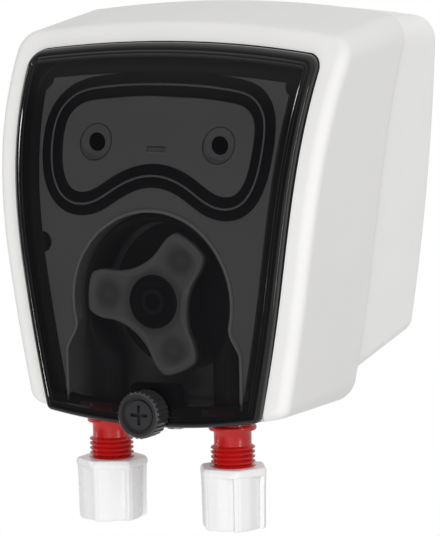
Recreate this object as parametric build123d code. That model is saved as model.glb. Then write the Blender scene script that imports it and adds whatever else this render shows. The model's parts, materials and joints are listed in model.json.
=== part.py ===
from build123d import *
import math
import os

os.makedirs("parts", exist_ok=True)

# ---------------------------------------------------------------- driving dimensions (mm)
# Working axes: X to the right, Y from the cover's face towards the wall, Z up.
# The finished pieces are shifted so that the origin is the centre of the wall face.
WALL_Y = 86.0            # wall face, behind the cover's lower face
DATUM_Z = 72.0           # height of the wall bracket's centre

MID_Z = 60.0             # height where the face profile starts to lean back
FACE_C1, FACE_C2, FACE_C3 = 0.01137, 0.10109, 0.13736
HALF_W = 46.09           # cover half width at MID_Z
HALF_C1, HALF_C2, HALF_C3 = 0.13141, -0.04991, 0.0082

COVER_TOP, COVER_TOP_K = 127.65, 0.00127
COVER_BOT, COVER_BOT_K = 9.22, 0.00243
COVER_PROUD = 2.2        # outer face of the cover ahead of its edge line
COVER_T = 2.2
BEZEL_Y = 1.0            # bezel strip behind the edge line
BEZEL_W = 7.8            # bezel width beside the cover
LEDGE_Y = 4.5            # ledge that carries the gasket
BAND_SIDE, BAND_TOP, BAND_BOT = 7.6, 9.3, 6.5
WALL = 2.6
TOP_Z0, TOP_SLOPE, TOP_K = 130.5, 0.1286, 0.00113
SEAM_Y0, SEAM_K = 46.5, 0.6
REAR_INSET = 1.0

ROTOR_Z = 48.2           # rotor axis height
RACE_R = 27.8            # roller track radius
RACE_FLOOR_Y = 21.8
ROLLER_R, ROLLER_PITCH_R = 4.6, 19.4
ARM_ANGLES = (174.0, 54.0, -66.0)
CARRIER_R = 23.8
TUBE_R, TUBE_BORE_R = 5.7, 3.7
LEG_X, LEG_Y = 21.95, 11.2
SQUEEZED = 3.5           # tube thickness under a roller
SQUEEZED_W = 15.0

BAY_FLOOR_Y, BAY_BACK_Y = 24.5, 27.0
KNOB_Z, KNOB_R = 14.0, 7.4
THREAD_R = 7.0           # hose connector thread, M14 x 1.5
THREAD_PITCH = 1.5
NUT_TOP, NUT_BOT, NUT_R = -3.4, -22.8, 10.9

PEG_X, PEG_Z, PEG_R = 24.0, 122.6, 1.6    # locating pegs of the cover
MODULE, PRESSURE, BACKLASH = 0.8, 25.0, 0.12
BIG_T, SMALL_T = 48, 12
GEAR_CD = MODULE * (BIG_T + SMALL_T) / 2


def yf(z):
    t = max(0.0, (z - MID_Z) / 60.0)
    return 60.0 * (FACE_C1 * t + FACE_C2 * t * t + FACE_C3 * t ** 3)


def wc(z):
    t = (z - MID_Z) / 60.0
    return HALF_W + 60.0 * (HALF_C1 * t + HALF_C2 * t * t + HALF_C3 * t ** 3)


def y_seam(z):
    return SEAM_Y0 + SEAM_K * yf(z)


# ---------------------------------------------------------------- helpers
def arc3(p, q, r):
    return Edge.make_three_point_arc(Vector(*p), Vector(*q), Vector(*r))


def poly_face(pts):
    vs = [Vector(*p) for p in pts]
    return Face(Wire([Edge.make_line(vs[i], vs[(i + 1) % len(vs)]) for i in range(len(vs))]))


def outline(y, dw, zt, kt, zb, kb, rt, rb):
    """Closed outline in a plane of constant y: bowed sides, arched top and bottom."""
    z = zt
    for _ in range(30):
        xt = wc(z) + dw
        z = zt - kt * xt * xt
    ztc = z
    z = zb
    for _ in range(30):
        xb = wc(z) + dw
        z = zb + kb * xb * xb
    zbc = z
    zm = 0.5 * (zbc + ztc)
    xm = wc(zm) + dw
    e = [
        arc3((-xb, y, zbc), (0, y, zb), (xb, y, zbc)),
        arc3((xb, y, zbc), (xm, y, zm), (xt, y, ztc)),
        arc3((xt, y, ztc), (0, y, zt), (-xt, y, ztc)),
        arc3((-xt, y, ztc), (-xm, y, zm), (-xb, y, zbc)),
    ]
    f = Face(Wire(e))
    if rt:
        f = f.fillet_2d(rt, [v for v in f.vertices() if v.Z > MID_Z])
    if rb:
        f = f.fillet_2d(rb, [v for v in f.vertices() if v.Z < MID_Z and abs(abs(v.X) - xb) < 1e-3])
    return f


def prism_y(face, y0, y1):
    """Face at y0 pushed to y1."""
    return Solid.extrude(face, Vector(0, y1 - y0, 0))


def band(fa, fb, z0=-40.0, z1=150.0):
    """Everything between two side profiles, which are functions of z."""
    n = 24
    zs = [z0 + (MID_Z - z0) * i / 4 for i in range(5)] + [MID_Z + (z1 - MID_Z) * i / n for i in range(1, n + 1)]
    edges = []
    pa = [Vector(-90, fa(z), z) for z in zs]
    pb = [Vector(-90, fb(z), z) for z in zs]

    def curve(p):
        if max(abs(v.Y - p[0].Y) for v in p) < 1e-6:
            return [Edge.make_line(p[0], p[-1])]
        return [Edge.make_line(p[0], p[4]), Edge.make_spline(p[4:], tangents=[(p[4] - p[0]).normalized(), (p[-1] - p[-2]).normalized()])]

    ea, eb = curve(pa), curve(pb)
    edges = ea + [Edge.make_line(pa[-1], pb[-1])] + eb + [Edge.make_line(pb[0], pa[0])]
    return Solid.extrude(Face(Wire(edges)), Vector(180, 0, 0))


def cyl_y(x, z, r, y0, y1):
    return Solid.make_cylinder(r, y1 - y0, Plane(origin=(x, y0, z), z_dir=(0, 1, 0)))


def cyl_z(x, y, r, z0, z1):
    return Solid.make_cylinder(r, z1 - z0, Plane(origin=(x, y, z0), z_dir=(0, 0, 1)))


def cyl_x(y, z, r, x0, x1):
    return Solid.make_cylinder(r, x1 - x0, Plane(origin=(x0, y, z), z_dir=(1, 0, 0)))


def box(x0, x1, y0, y1, z0, z1):
    return Solid.make_box(x1 - x0, y1 - y0, z1 - z0, Plane(origin=(x0, y0, z0)))


def rev_z(pts, x, y):
    f = poly_face([(r, 0, z) for r, z in pts])
    return Solid.revolve(f, 360, Axis((0, 0, 0), (0, 0, 1))).moved(Location((x, y, 0)))


def rev_y(pts, x, z):
    f = poly_face([(r, yy, 0) for r, yy in pts])
    return Solid.revolve(f, 360, Axis((0, 0, 0), (0, 1, 0))).moved(Location((x, 0, z)))


def polar(r, deg, y, cz=ROTOR_Z):
    return (r * math.cos(math.radians(deg)), y, cz + r * math.sin(math.radians(deg)))


def try_fillet(shape, radius, picks):
    for k in (1.0, 0.8, 0.6, 0.4):
        try:
            out = shape.fillet(radius * k, picks)
            if out.is_valid and out.volume > 0:
                return out
        except Exception:
            pass
    print("fillet skipped", radius)
    return shape


def one(s):
    sol = s.solids()
    return sol[0] if len(sol) == 1 else Compound(sol)


def tool(*shapes):
    out = []
    for s in shapes:
        out += list(s.solids())
    return out


def cut(s, *ts):
    return one(s.cut(*tool(*ts)))


def fuse(s, *ts):
    return one(s.fuse(*tool(*ts)))


def common(s, *ts):
    for t in ts:
        s = one(s.intersect(t)) if not isinstance(s.intersect(t), ShapeList) else one(Compound(s.intersect(t)))
    return s


parts = {}


def cover_outline(y, d=0.0, top=None, bot=None, rt=5.0, rb=2.2):
    top = d if top is None else top
    bot = d if bot is None else bot
    return outline(y, -d, COVER_TOP - top, COVER_TOP_K, COVER_BOT + bot, COVER_BOT_K, rt, rb)


def shell_loft(dw, dt, db, r, y0=-6.0, y1=92.0):
    """Outer form of the front shell, opened out slightly towards its rear edge."""
    def w(y):
        return outline(y, BEZEL_W + 0.012 * y + dw, TOP_Z0 + TOP_SLOPE * y - dt, TOP_K, 9.0 + db, COVER_BOT_K,
                       max(1.5, 6.0 + 0.05 * y - r), max(1.5, 4.0 + 0.12 * max(0.0, y) - r)).outer_wire()
    return Solid.make_loft([w(y0), w(y1)], True)


# ---------------------------------------------------------------- front housing
outer = common(shell_loft(0.0, 0.0, 0.0, 0.0), band(lambda z: yf(z) + BEZEL_Y, y_seam))
rim = [e for e in outer.edges() if all(abs(v.Y - yf(v.Z) - BEZEL_Y) < 0.02 for v in [e @ 0, e @ 0.5, e @ 1])]
outer = try_fillet(outer, 3.6, rim)
seam_rim = [e for e in outer.edges() if all(abs(v.Y - y_seam(v.Z)) < 0.05 for v in [e @ 0, e @ 0.5, e @ 1])]
outer = try_fillet(outer, 1.5, seam_rim)
bay_outer = common(prism_y(cover_outline(-12, BAND_SIDE - 2.6, BAND_TOP - 2.6, 0.3, 5.5, 3.0), -12, BAY_BACK_Y),
                   box(-80, 80, -20, BAY_BACK_Y, -20, 140))
bay_pocket = prism_y(cover_outline(-12, BAND_SIDE - 0.2, BAND_TOP - 0.2, 2.4, 3.2, 1.5), -12, BAY_FLOOR_Y)
recess = common(prism_y(outline(-12, 0.3, COVER_TOP + 0.3, COVER_TOP_K, -12, COVER_BOT_K, 5.3, 0), -12, 60),
                band(lambda z: -30, lambda z: yf(z) + LEDGE_Y))
hollow = common(shell_loft(-WALL, WALL, WALL, 2.2), band(lambda z: yf(z) + LEDGE_Y + 2.6, lambda z: 88))
hollow = cut(hollow, bay_outer)
front = cut(outer, hollow, recess, bay_pocket)

BOSSES = [(s * x, z) for x, z in ((45.5, 116.0), (35.5, 28.0)) for s in (-1, 1)]
for x, z in BOSSES:
    y1 = y_seam(z) - 2.0
    front = fuse(front, common(cyl_y(x, z, 4.0, yf(z) + 7.6, y1), outer))
for x, z in BOSSES:
    front = cut(front, cyl_y(x, z, 1.6, y_seam(z) - 16.0, y_seam(z) + 5))
# slots for the two hose connectors, open to the front
for s in (-1, 1):
    front = cut(front, box(s * LEG_X - 6.05, s * LEG_X + 6.05, -12, LEG_Y, 4, 16), cyl_z(s * LEG_X, LEG_Y, 6.05, 4, 16))
# shaft opening, gearbox fixings and the cover's peg holes
front = cut(front, cyl_y(0, ROTOR_Z, 9.0, BAY_FLOOR_Y - 1, BAY_BACK_Y + 1))
GEAR_FIX = [(x, z) for x in (-20.5, 20.5) for z in (31.0, 89.4)]
for x, z in GEAR_FIX:
    front = cut(front, cyl_y(x, z, 1.6, BAY_FLOOR_Y - 1, BAY_BACK_Y + 1))
PEG_Y = yf(PEG_Z)
for s in (-1, 1):
    front = cut(front, cyl_y(s * PEG_X, PEG_Z, PEG_R + 0.05, PEG_Y, PEG_Y + 12))
parts["front_housing"] = front

# ---------------------------------------------------------------- rear housing
GAP = 0.8
back_y = WALL_Y


def rear_loft(dw, dt, db, r):
    def w(y, k):
        return outline(y, BEZEL_W + 0.5 - REAR_INSET + dw - 0.9 * k, 137.2 - 1.2 * k - dt, TOP_K, 15.5 + 10.5 * k + db,
                       COVER_BOT_K, max(2.0, 8.0 - r), max(1.5, 6.0 - r)).outer_wire()
    a, b = 40.0, back_y
    return Solid.make_loft([w(a, 0.0), w(b, 1.0)], True)


rear = common(rear_loft(0, 0, 0, 0), band(lambda z: y_seam(z) + GAP, lambda z: back_y, z1=150))
rim = [e for e in rear.edges() if all(abs(v.Y - back_y) < 0.02 for v in [e @ 0, e @ 0.5, e @ 1])]
rear = try_fillet(rear, 3.0, rim)
rear_hollow = common(rear_loft(-WALL, WALL, WALL, 2.2), box(-90, 90, 20, back_y - WALL, -40, 150))
rear_full = rear
rear = cut(rear, rear_hollow)
BR_X, BR_Z, BR_T = 30.0, 31.0, 3.0          # bracket half width, half height, thickness
pad = box(-BR_X - 4, BR_X + 4, back_y - BR_T - 3.4, back_y - WALL + 0.5, DATUM_Z - BR_Z - 4, DATUM_Z + BR_Z + 4)
rear = fuse(rear, pad)
rear = cut(rear, box(-BR_X - 0.6, BR_X + 0.6, back_y - BR_T - 0.6, back_y + 2, DATUM_Z - BR_Z - 0.6, DATUM_Z + BR_Z + 0.6))
HOLE_X, HOLE_Z = 20.0, 22.0                 # wall fixing pattern, half spacings
for sx in (-1, 1):
    for sz in (-1, 1):
        c = cyl_y(sx * HOLE_X, DATUM_Z + sz * HOLE_Z, 7.0, back_y - 12.0, back_y - BR_T - 2.0)
        rear = fuse(rear, c)
        rear = cut(rear, cyl_y(sx * HOLE_X, DATUM_Z + sz * HOLE_Z, 5.4, back_y - 10.6, back_y))
# slots for the bracket's two hooks
HOOK_X = 8.0
for s in (-1, 1):
    rear = cut(rear, box(s * HOOK_X - 3.4, s * HOOK_X + 3.4, back_y - 9, back_y - BR_T + 0.2, DATUM_Z + 10.6, DATUM_Z + 18.5))
for x, z in BOSSES:
    tube = common(cyl_y(x, z, 5.4, y_seam(z) + GAP, back_y), rear_full)
    rear = fuse(rear, tube)
    rear = cut(rear, cyl_y(x, z, 1.9, y_seam(z) - 2, back_y + 1), cyl_y(x, z, 3.9, y_seam(z) + 8.0, back_y + 1))
GLAND_X, GLAND_Y = -16.0, 64.0
rear = fuse(rear, cut(common(cyl_z(GLAND_X, GLAND_Y, 11.0, 17.0, 27.0), box(-90, 90, 50, back_y, 17.0, 27.0)), rear_hollow))
rear = cut(rear, cyl_z(GLAND_X, GLAND_Y, 6.1, 8, 40))
parts["rear_housing"] = rear

# gasket between the two shells
gasket = common(cut(common(shell_loft(-1.3, 1.3, 1.3, 1.2), box(-90, 90, 30, 84, -40, 160)),
                    shell_loft(-2.5, 2.5, 2.5, 2.2)), band(y_seam, lambda z: y_seam(z) + GAP))
parts["housing_gasket"] = gasket

screws = []
for x, z in BOSSES:
    ys = y_seam(z)
    screws.append(rev_y([(0, ys + 11.0), (3.4, ys + 11.0), (3.4, ys + 8.0), (1.6, ys + 8.0), (1.6, ys - 14.0), (1.0, ys - 15.0), (0, ys - 15.0)], x, z))
screws = [cut(s, box(x - 2.4, x + 2.4, y_seam(z) + 9.6, y_seam(z) + 12, z - 0.5, z + 0.5), box(x - 0.5, x + 0.5, y_seam(z) + 9.6, y_seam(z) + 12, z - 2.4, z + 2.4))
          for s, (x, z) in zip(screws, BOSSES)]
parts["housing_screws"] = Compound(screws)

# ---------------------------------------------------------------- wall bracket
br = box(-BR_X, BR_X, back_y - BR_T, back_y, DATUM_Z - BR_Z, DATUM_Z + BR_Z)
br = try_fillet(br, 4.0, [e for e in br.edges() if abs((e % 0.5).Y) > 0.9])
for sx in (-1, 1):
    for sz in (-1, 1):
        br = cut(br, cyl_y(sx * HOLE_X, DATUM_Z + sz * HOLE_Z, 2.25, back_y - 5, back_y + 1))
for s in (-1, 1):
    br = fuse(br, box(s * HOOK_X - 3, s * HOOK_X + 3, back_y - BR_T - 4.6, back_y - BR_T, DATUM_Z + 11.0, DATUM_Z + 14.0))
    br = fuse(br, box(s * HOOK_X - 3, s * HOOK_X + 3, back_y - BR_T - 6.2, back_y - BR_T - 4.2, DATUM_Z + 11.0, DATUM_Z + 18.0))
br = cut(br, box(-12, 12, back_y - 5, back_y + 1, DATUM_Z - 27, DATUM_Z - 12))
parts["wall_bracket"] = br

# ---------------------------------------------------------------- cover and its gasket
inner_face = COVER_T - COVER_PROUD
cover = common(prism_y(cover_outline(-12), -12, 60), band(lambda z: yf(z) - COVER_PROUD, lambda z: yf(z) + inner_face))
front_rim = [e for e in cover.edges() if all(abs(v.Y - yf(v.Z) + COVER_PROUD) < 0.02 for v in [e @ 0, e @ 0.5, e @ 1])]
cover = try_fillet(cover, 1.5, front_rim)
skirt = cut(common(prism_y(cover_outline(-12), -12, 60), band(lambda z: yf(z) + inner_face - 0.4, lambda z: yf(z) + 1.2)),
            prism_y(cover_outline(-13, 1.8, 1.8, 1.8, 3.4, 1.0), -13, 61))
cover = fuse(cover, skirt)
cover = cut(cover, cyl_y(0, KNOB_Z, 3.6, -12, 8), cyl_y(0, KNOB_Z, 4.8, inner_face + 0.05, 8))
for s in (-1, 1):
    peg = rev_y([(0, PEG_Y - 0.6), (PEG_R, PEG_Y - 0.6), (PEG_R, PEG_Y + 9.0), (PEG_R - 0.5, PEG_Y + 9.6), (0, PEG_Y + 9.6)], s * PEG_X, PEG_Z)
    cover = fuse(cover, peg)
parts["smoked_cover"] = cover

ring = common(cut(prism_y(cover_outline(-12, 0.2, 0.2, 2.4, 4.8, 1.5), -12, 60),
                  prism_y(cover_outline(-13, BAND_SIDE, BAND_TOP, BAND_BOT, 3.0, 1.5), -13, 61)),
              band(lambda z: yf(z) + 1.3, lambda z: yf(z) + LEDGE_Y))
ring = cut(ring, box(-33, 33, -12, 12, 0, 22))
for s in (-1, 1):
    ring = cut(ring, cyl_y(s * PEG_X, PEG_Z, PEG_R + 0.1, -5, 40))
parts["cover_gasket"] = ring

# ---------------------------------------------------------------- pump head plate with roller track
PLATE_Y = 1.0
plate_out = prism_y(cover_outline(-12, BAND_SIDE, BAND_TOP, BAND_BOT, 3.0, 1.5), -12, BAY_FLOOR_Y - 0.3)
plate = common(plate_out, band(lambda z: yf(z) + PLATE_Y, lambda z: yf(z) + PLATE_Y + 2.6))
wall_ring = common(cut(plate_out, prism_y(cover_outline(-13, BAND_SIDE + 2, BAND_TOP + 2, BAND_BOT, 2.0, 1.0), -13, 61)),
                   band(lambda z: yf(z) + PLATE_Y + 2.0, lambda z: BAY_FLOOR_Y - 0.3))
LEG_HALF = 30.6


def track_face(y, grow, floor_z=-5.0):
    """Horseshoe: a circle that necks in a little and opens into two straight legs."""
    r = RACE_R + grow
    a = math.radians(-14.0)
    p0 = (r * math.cos(a), y, ROTOR_Z + r * math.sin(a))
    n = (LEG_HALF + grow, y, ROTOR_Z - 17.0)
    e = [
        arc3(p0, (0, y, ROTOR_Z + r), (-p0[0], y, p0[2])),
        Edge.make_spline([Vector(-p0[0], y, p0[2]), Vector(-n[0], y, n[2])],
                         tangents=[Vector(math.sin(a), 0, -math.cos(a)), Vector(0, 0, -1)]),
        Edge.make_line(Vector(-n[0], y, n[2]), Vector(-n[0], y, floor_z)),
        Edge.make_line(Vector(-n[0], y, floor_z), Vector(n[0], y, floor_z)),
        Edge.make_line(Vector(n[0], y, floor_z), Vector(n[0], y, n[2])),
        Edge.make_spline([Vector(n[0], y, n[2]), Vector(*p0)], tangents=[Vector(0, 0, 1), Vector(math.sin(a), 0, math.cos(a))]),
    ]
    return Face(Wire(e))


drum = common(prism_y(track_face(PLATE_Y + 1.0, 2.2), PLATE_Y + 1.0, BAY_FLOOR_Y - 0.3), plate_out)
lip = common(prism_y(track_face(PLATE_Y - 0.6, 1.2), PLATE_Y - 0.6, PLATE_Y + 2.4), plate_out,
             band(lambda z: yf(z) + PLATE_Y - 0.6, lambda z: 30))
plate = fuse(plate, wall_ring, drum, lip)
plate = cut(plate, prism_y(track_face(-5, 0.0), -5, RACE_FLOOR_Y))
plate = cut(plate, cyl_y(0, ROTOR_Z, 5.4, RACE_FLOOR_Y - 1, BAY_FLOOR_Y + 1))
EYE_X, EYE_Z, EYE_R, EYE_RING = LEG_X, 97.07, 2.9, 5.6
for s in (-1, 1):
    ye = yf(EYE_Z) + PLATE_Y
    plate = fuse(plate, common(cyl_y(s * EYE_X, EYE_Z, 6.6, ye - 4.0, BAY_FLOOR_Y - 0.3), band(lambda z: yf(z) + PLATE_Y + 0.6, lambda z: 40)))
    plate = cut(plate, cyl_y(s * EYE_X, EYE_Z, EYE_RING, ye - 5, ye + 0.9), cyl_y(s * EYE_X, EYE_Z, EYE_R, ye - 5, 20.5),
                cyl_y(s * EYE_X, EYE_Z, 1.7, 15, 26))
plate = cut(plate, box(-3.4, 3.4, -5, yf(95.2) + PLATE_Y + 0.8, 94.3, 96.2))
# notch in the left edge
plate = cut(plate, cyl_y(-wc(65.5) + BAND_SIDE - 0.4, 65.5, 3.3, -5, 12))
LOW_FIX = [(-33.4, 38.0), (33.4, 38.0)]
for x, z in LOW_FIX:
    plate = fuse(plate, common(cyl_y(x, z, 2.6, PLATE_Y + 1.0, BAY_FLOOR_Y - 0.3), plate_out))
    plate = cut(plate, cyl_y(x, z, 1.25, 12.0, 26))
plate = cut(plate, *[cyl_y(x, z, 4.1, 5.0, 30) for x, z in BOSSES])


def mask_points(d, n_side=6):
    """Mask-shaped closed curve on the panel, d outside its middle line (x, z)."""
    base = [(0.0, 115.0), (14.0, 114.6), (24.0, 113.6), (31.5, 111.5), (36.2, 106.5), (37.6, 99.5), (37.2, 92.0), (35.3, 84.6),
            (31.4, 79.6), (25.6, 77.9), (19.6, 79.4), (13.4, 83.1), (6.8, 86.2), (0.0, 87.3)]
    full = base + [(-x, z) for x, z in reversed(base[1:-1])]
    out = []
    n = len(full)
    for i, (x, z) in enumerate(full):
        ax, az = full[i - 1]
        bx, bz = full[(i + 1) % n]
        tx, tz = bx - ax, bz - az
        l = math.hypot(tx, tz)
        out.append((x - tz / l * d, z + tx / l * d))
    return out


def mask_face(y, d):
    pts = [Vector(x, y, z) for x, z in mask_points(d)]
    return Face(Wire([Edge.make_spline(pts, periodic=True)]))


SEAL_HALF = 3.7
seal_zone = cut(prism_y(mask_face(-10, SEAL_HALF), -10, 40), prism_y(mask_face(-11, -SEAL_HALF), -11, 41))
bead_zone = cut(prism_y(mask_face(-10, 0.45), -10, 40), prism_y(mask_face(-11, -0.45), -11, 41))
groove = common(seal_zone, band(lambda z: -30, lambda z: yf(z) + PLATE_Y + 1.2))
plate = cut(plate, groove)
seal_in = common(cut(prism_y(mask_face(-10, SEAL_HALF - 0.05), -10, 40), prism_y(mask_face(-11, -SEAL_HALF + 0.05), -11, 41)), plate_out)
seal = common(seal_in, band(lambda z: yf(z) + PLATE_Y - 0.3, lambda z: yf(z) + PLATE_Y + 1.2))
seal = fuse(seal, common(bead_zone, band(lambda z: yf(z) + PLATE_Y - 0.75, lambda z: yf(z) + PLATE_Y + 0.2)))
parts["pump_head"] = plate
parts["window_seal"] = seal

hs = []
for s in (-1, 1):
    h = rev_y([(0, 18.0), (2.6, 18.0), (2.6, 20.5), (1.65, 20.5), (1.65, BAY_FLOOR_Y + 0.2), (1.2, BAY_FLOOR_Y + 6.0), (0, BAY_FLOOR_Y + 6.0)], s * EYE_X, EYE_Z)
    hs.append(cut(h, cyl_y(s * EYE_X, EYE_Z, 1.2, 17, 19.4)))
parts["head_screws"] = Compound(hs)
for s in (-1, 1):
    parts["front_housing"] = cut(parts["front_housing"], cyl_y(s * EYE_X, EYE_Z, 1.68, BAY_FLOOR_Y - 1, BAY_BACK_Y + 1))
ls = []
for x, z in LOW_FIX:
    ls.append(rev_y([(0, 30.0), (2.6, 30.0), (2.6, BAY_BACK_Y), (1.25, BAY_BACK_Y), (1.25, 13.0), (0, 12.6)], x, z))
    parts["front_housing"] = cut(parts["front_housing"], cyl_y(x, z, 1.4, BAY_FLOOR_Y - 1, BAY_BACK_Y + 1))
parts["head_rear_screws"] = Compound(ls)

# ---------------------------------------------------------------- connector clamp with the knob's threaded boss
def bot_z(x):
    return COVER_BOT + COVER_BOT_K * x * x


CL_X = 33.0
cl = Face(Wire([
    arc3((-CL_X, 1.4, bot_z(CL_X) + 3.0), (0, 1.4, bot_z(0) + 3.0), (CL_X, 1.4, bot_z(CL_X) + 3.0)),
    Edge.make_line(Vector(CL_X, 1.4, bot_z(CL_X) + 3.0), Vector(CL_X, 1.4, bot_z(CL_X) + BAND_BOT - 0.3)),
    arc3((CL_X, 1.4, bot_z(CL_X) + BAND_BOT - 0.3), (0, 1.4, bot_z(0) + BAND_BOT - 0.3), (-CL_X, 1.4, bot_z(CL_X) + BAND_BOT - 0.3)),
    Edge.make_line(Vector(-CL_X, 1.4, bot_z(CL_X) + BAND_BOT - 0.3), Vector(-CL_X, 1.4, bot_z(CL_X) + 3.0))]))
clamp = prism_y(cl, 1.4, 3.4)
BLOCK_X, BLOCK_TOP = 8.7, 22.4
block = box(-BLOCK_X, BLOCK_X, 1.4, 18.0, 12.2, BLOCK_TOP)
block = try_fillet(block, 2.2, [e for e in block.edges() if abs((e % 0.5).Y) > 0.9 and (e @ 0.5).Z > 20])
clamp = fuse(clamp, block)
# arches over the connectors' collars
clamp = cut(clamp, *[box(s * LEG_X - 6.4, s * LEG_X + 6.4, 0, 8, 10, 15.4) for s in (-1, 1)])
clamp = cut(clamp, *[cyl_z(s * LEG_X, LEG_Y, 7.8, 10, 30) for s in (-1, 1)])
clamp = cut(clamp, cyl_y(0, KNOB_Z, 4.6, 0, 10.0))
clamp = cut(clamp, cyl_z(0, 14.2, 1.3, 10, 18.5))
parts["connector_clamp"] = clamp
parts["thread_insert"] = cut(rev_y([(3.55, 2.6), (4.6, 2.6), (4.6, 9.8), (3.55, 9.8)], 0, KNOB_Z))
parts["front_housing"] = cut(parts["front_housing"], cyl_z(0, 14.2, 1.7, 4, 16), cyl_y(0, KNOB_Z, 4.6, 4.0, 10.0))
parts["clamp_screw"] = rev_z([(0, 6.6), (2.8, 6.6), (2.8, 8.95), (1.6, 8.95), (1.6, 12.0), (1.3, 12.0), (1.3, 18.0), (0, 18.4)], 0, 14.2)
parts["clamp_screw"] = cut(parts["clamp_screw"], box(-0.5, 0.5, 12, 16.4, 6, 7.6), box(-2.2, 2.2, 13.7, 14.7, 6, 7.6))

# ---------------------------------------------------------------- knurled thumbscrew with its retaining ring
KNOB_FRONT, KNOB_BACK = -9.8, -2.5
knob = rev_y([(0, KNOB_FRONT + 0.9), (4.6, KNOB_FRONT + 0.9), (4.9, KNOB_FRONT + 1.5), (5.5, KNOB_FRONT + 1.5), (5.8, KNOB_FRONT), (6.7, KNOB_FRONT),
              (KNOB_R, KNOB_FRONT + 0.8), (KNOB_R, KNOB_BACK - 0.6), (KNOB_R - 0.6, KNOB_BACK), (3.0, KNOB_BACK), (3.0, 6.6), (2.4, 7.2), (0, 7.2)], 0, KNOB_Z)
RIBS = 28
cuts = []
for i in range(RIBS):
    a = 2 * math.pi * i / RIBS
    cuts.append(cyl_y(KNOB_Z * 0 + (KNOB_R + 0.12) * math.cos(a), KNOB_Z + (KNOB_R + 0.12) * math.sin(a), 0.52, KNOB_FRONT - 1, KNOB_BACK + 1))
knob = cut(knob, *cuts)
knob = cut(knob, box(-3.1, 3.1, KNOB_FRONT - 1, KNOB_FRONT + 2.4, KNOB_Z - 0.55, KNOB_Z + 0.55),
           box(-0.55, 0.55, KNOB_FRONT - 1, KNOB_FRONT + 2.4, KNOB_Z - 3.1, KNOB_Z + 3.1))
parts["cover_thumbscrew"] = knob
parts["retaining_ring"] = Solid.make_torus(3.74, 0.7, Plane(origin=(0, 0.9, KNOB_Z), z_dir=(0, 1, 0)))

# ---------------------------------------------------------------- hose connectors, clamp rings and nuts
conn, rings = [], []
FLANGE_R = 7.5
for s in (-1, 1):
    pts = [(2.1, 26.0), (3.2, 26.0), (3.65, 24.6), (3.65, 15.2), (FLANGE_R, 15.2), (FLANGE_R, 13.3), (5.95, 13.3), (5.95, 9.3), (FLANGE_R, 9.3),
           (FLANGE_R, 7.6), (5.85, 7.0), (5.85, 4.6)]
    z = 4.6
    while z > -12.0:
        pts += [(6.1, z - 0.35), (THREAD_R, z - 0.65), (THREAD_R, z - 0.85), (6.1, z - 1.15)]
        z -= THREAD_PITCH
    pts += [(5.9, z - 0.2), (5.2, z - 0.6), (3.4, z - 0.6), (2.9, -16.6), (2.1, -16.9)]
    conn.append(rev_z(pts, s * LEG_X, LEG_Y))
    rings.append(rev_z([(3.75, -14.1), (5.4, -14.1), (5.7, -15.0), (5.7, -17.5), (4.4, -17.5), (3.75, -16.4)], s * LEG_X, LEG_Y))
CONN_END = z
parts["front_housing"] = cut(parts["front_housing"], *[cyl_z(s * LEG_X, LEG_Y, FLANGE_R + 0.1, 13.2, 17.0) for s in (-1, 1)])
parts["inlet_connector"] = conn[0]
parts["outlet_connector"] = conn[1]
parts["hose_clamp_rings"] = Compound(rings)
FLUTES = 6
for name, s, phase in (("inlet_nut", -1, 38.0), ("outlet_nut", 1, 8.0)):
    R = NUT_R
    n = rev_z([(THREAD_R + 0.05, NUT_TOP), (R - 0.9, NUT_TOP), (R, NUT_TOP - 1.0), (R, NUT_TOP - 3.0), (R - 0.3, NUT_TOP - 3.3), (R - 0.8, NUT_BOT + 1.0), (R - 1.6, NUT_BOT),
               (4.25, NUT_BOT), (4.25, NUT_BOT + 5.0), (5.9, NUT_BOT + 5.0), (5.9, -14.4), (THREAD_R + 0.05, -14.2)], s * LEG_X, LEG_Y)
    cs = []
    for i in range(FLUTES):
        a = math.radians(phase + 360.0 / FLUTES * i)
        c = cyl_z(s * LEG_X + (R + 0.9) * math.cos(a), LEG_Y + (R + 0.9) * math.sin(a), 2.3, NUT_BOT - 1, NUT_TOP - 3.3)
        cs.append(c)
    parts[name] = cut(n, *cs)

# ---------------------------------------------------------------- pump tube
TUBE_FLOOR = 15.4
R_OUT = RACE_R - 0.15           # back of the tube against the track
R_IN = ROLLER_PITCH_R + ROLLER_R + 0.15     # front of the tube, touched by the rollers


def half_width(a):
    """Half width along Y of the tube when it is pressed to 2a thick."""
    return min(7.3, math.sqrt(max(0.0, 2 * TUBE_R ** 2 - a * a)))


half = [(LEG_X, TUBE_FLOOR, 0.0, 1.0, TUBE_R, TUBE_R), (LEG_X, 29.0, 0.0, 1.0, TUBE_R, TUBE_R)]
for z, x_out in ((31.0, 27.65), (33.0, 27.65), (35.0, 27.65), (37.0, 27.65), (39.2, 27.35)):
    x_in = max(LEG_X - TUBE_R, math.sqrt(R_IN ** 2 - (ROTOR_Z - z) ** 2) + 0.12)
    a_ = (x_out - x_in) / 2
    half.append((x_in + a_, z, 0.0, 1.0, a_, half_width(a_)))
A_ARC = (R_OUT - R_IN) / 2
for deg in range(-14, 91, 8):
    t = math.radians(deg)
    rc = R_OUT - A_ARC
    half.append((rc * math.cos(t), ROTOR_Z + rc * math.sin(t), -math.sin(t), math.cos(t), A_ARC, half_width(A_ARC)))
full = half + [(-x, z, tx, -tz, a_, b_) for x, z, tx, tz, a_, b_ in reversed(half if half[-1][0] > 0.01 else half[:-1])]


def tube_section(cx, cz, tx, tz, a_, b_):
    pts = []
    for k in range(20):
        w = 2 * math.pi * (k + 0.5) / 20
        n, y = a_ * math.cos(w), b_ * math.sin(w)
        pts.append(Vector(cx + n * tz, LEG_Y + y, cz - n * tx))
    return Wire([Edge.make_line(pts[i], pts[(i + 1) % 20]) for i in range(20)])


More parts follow.
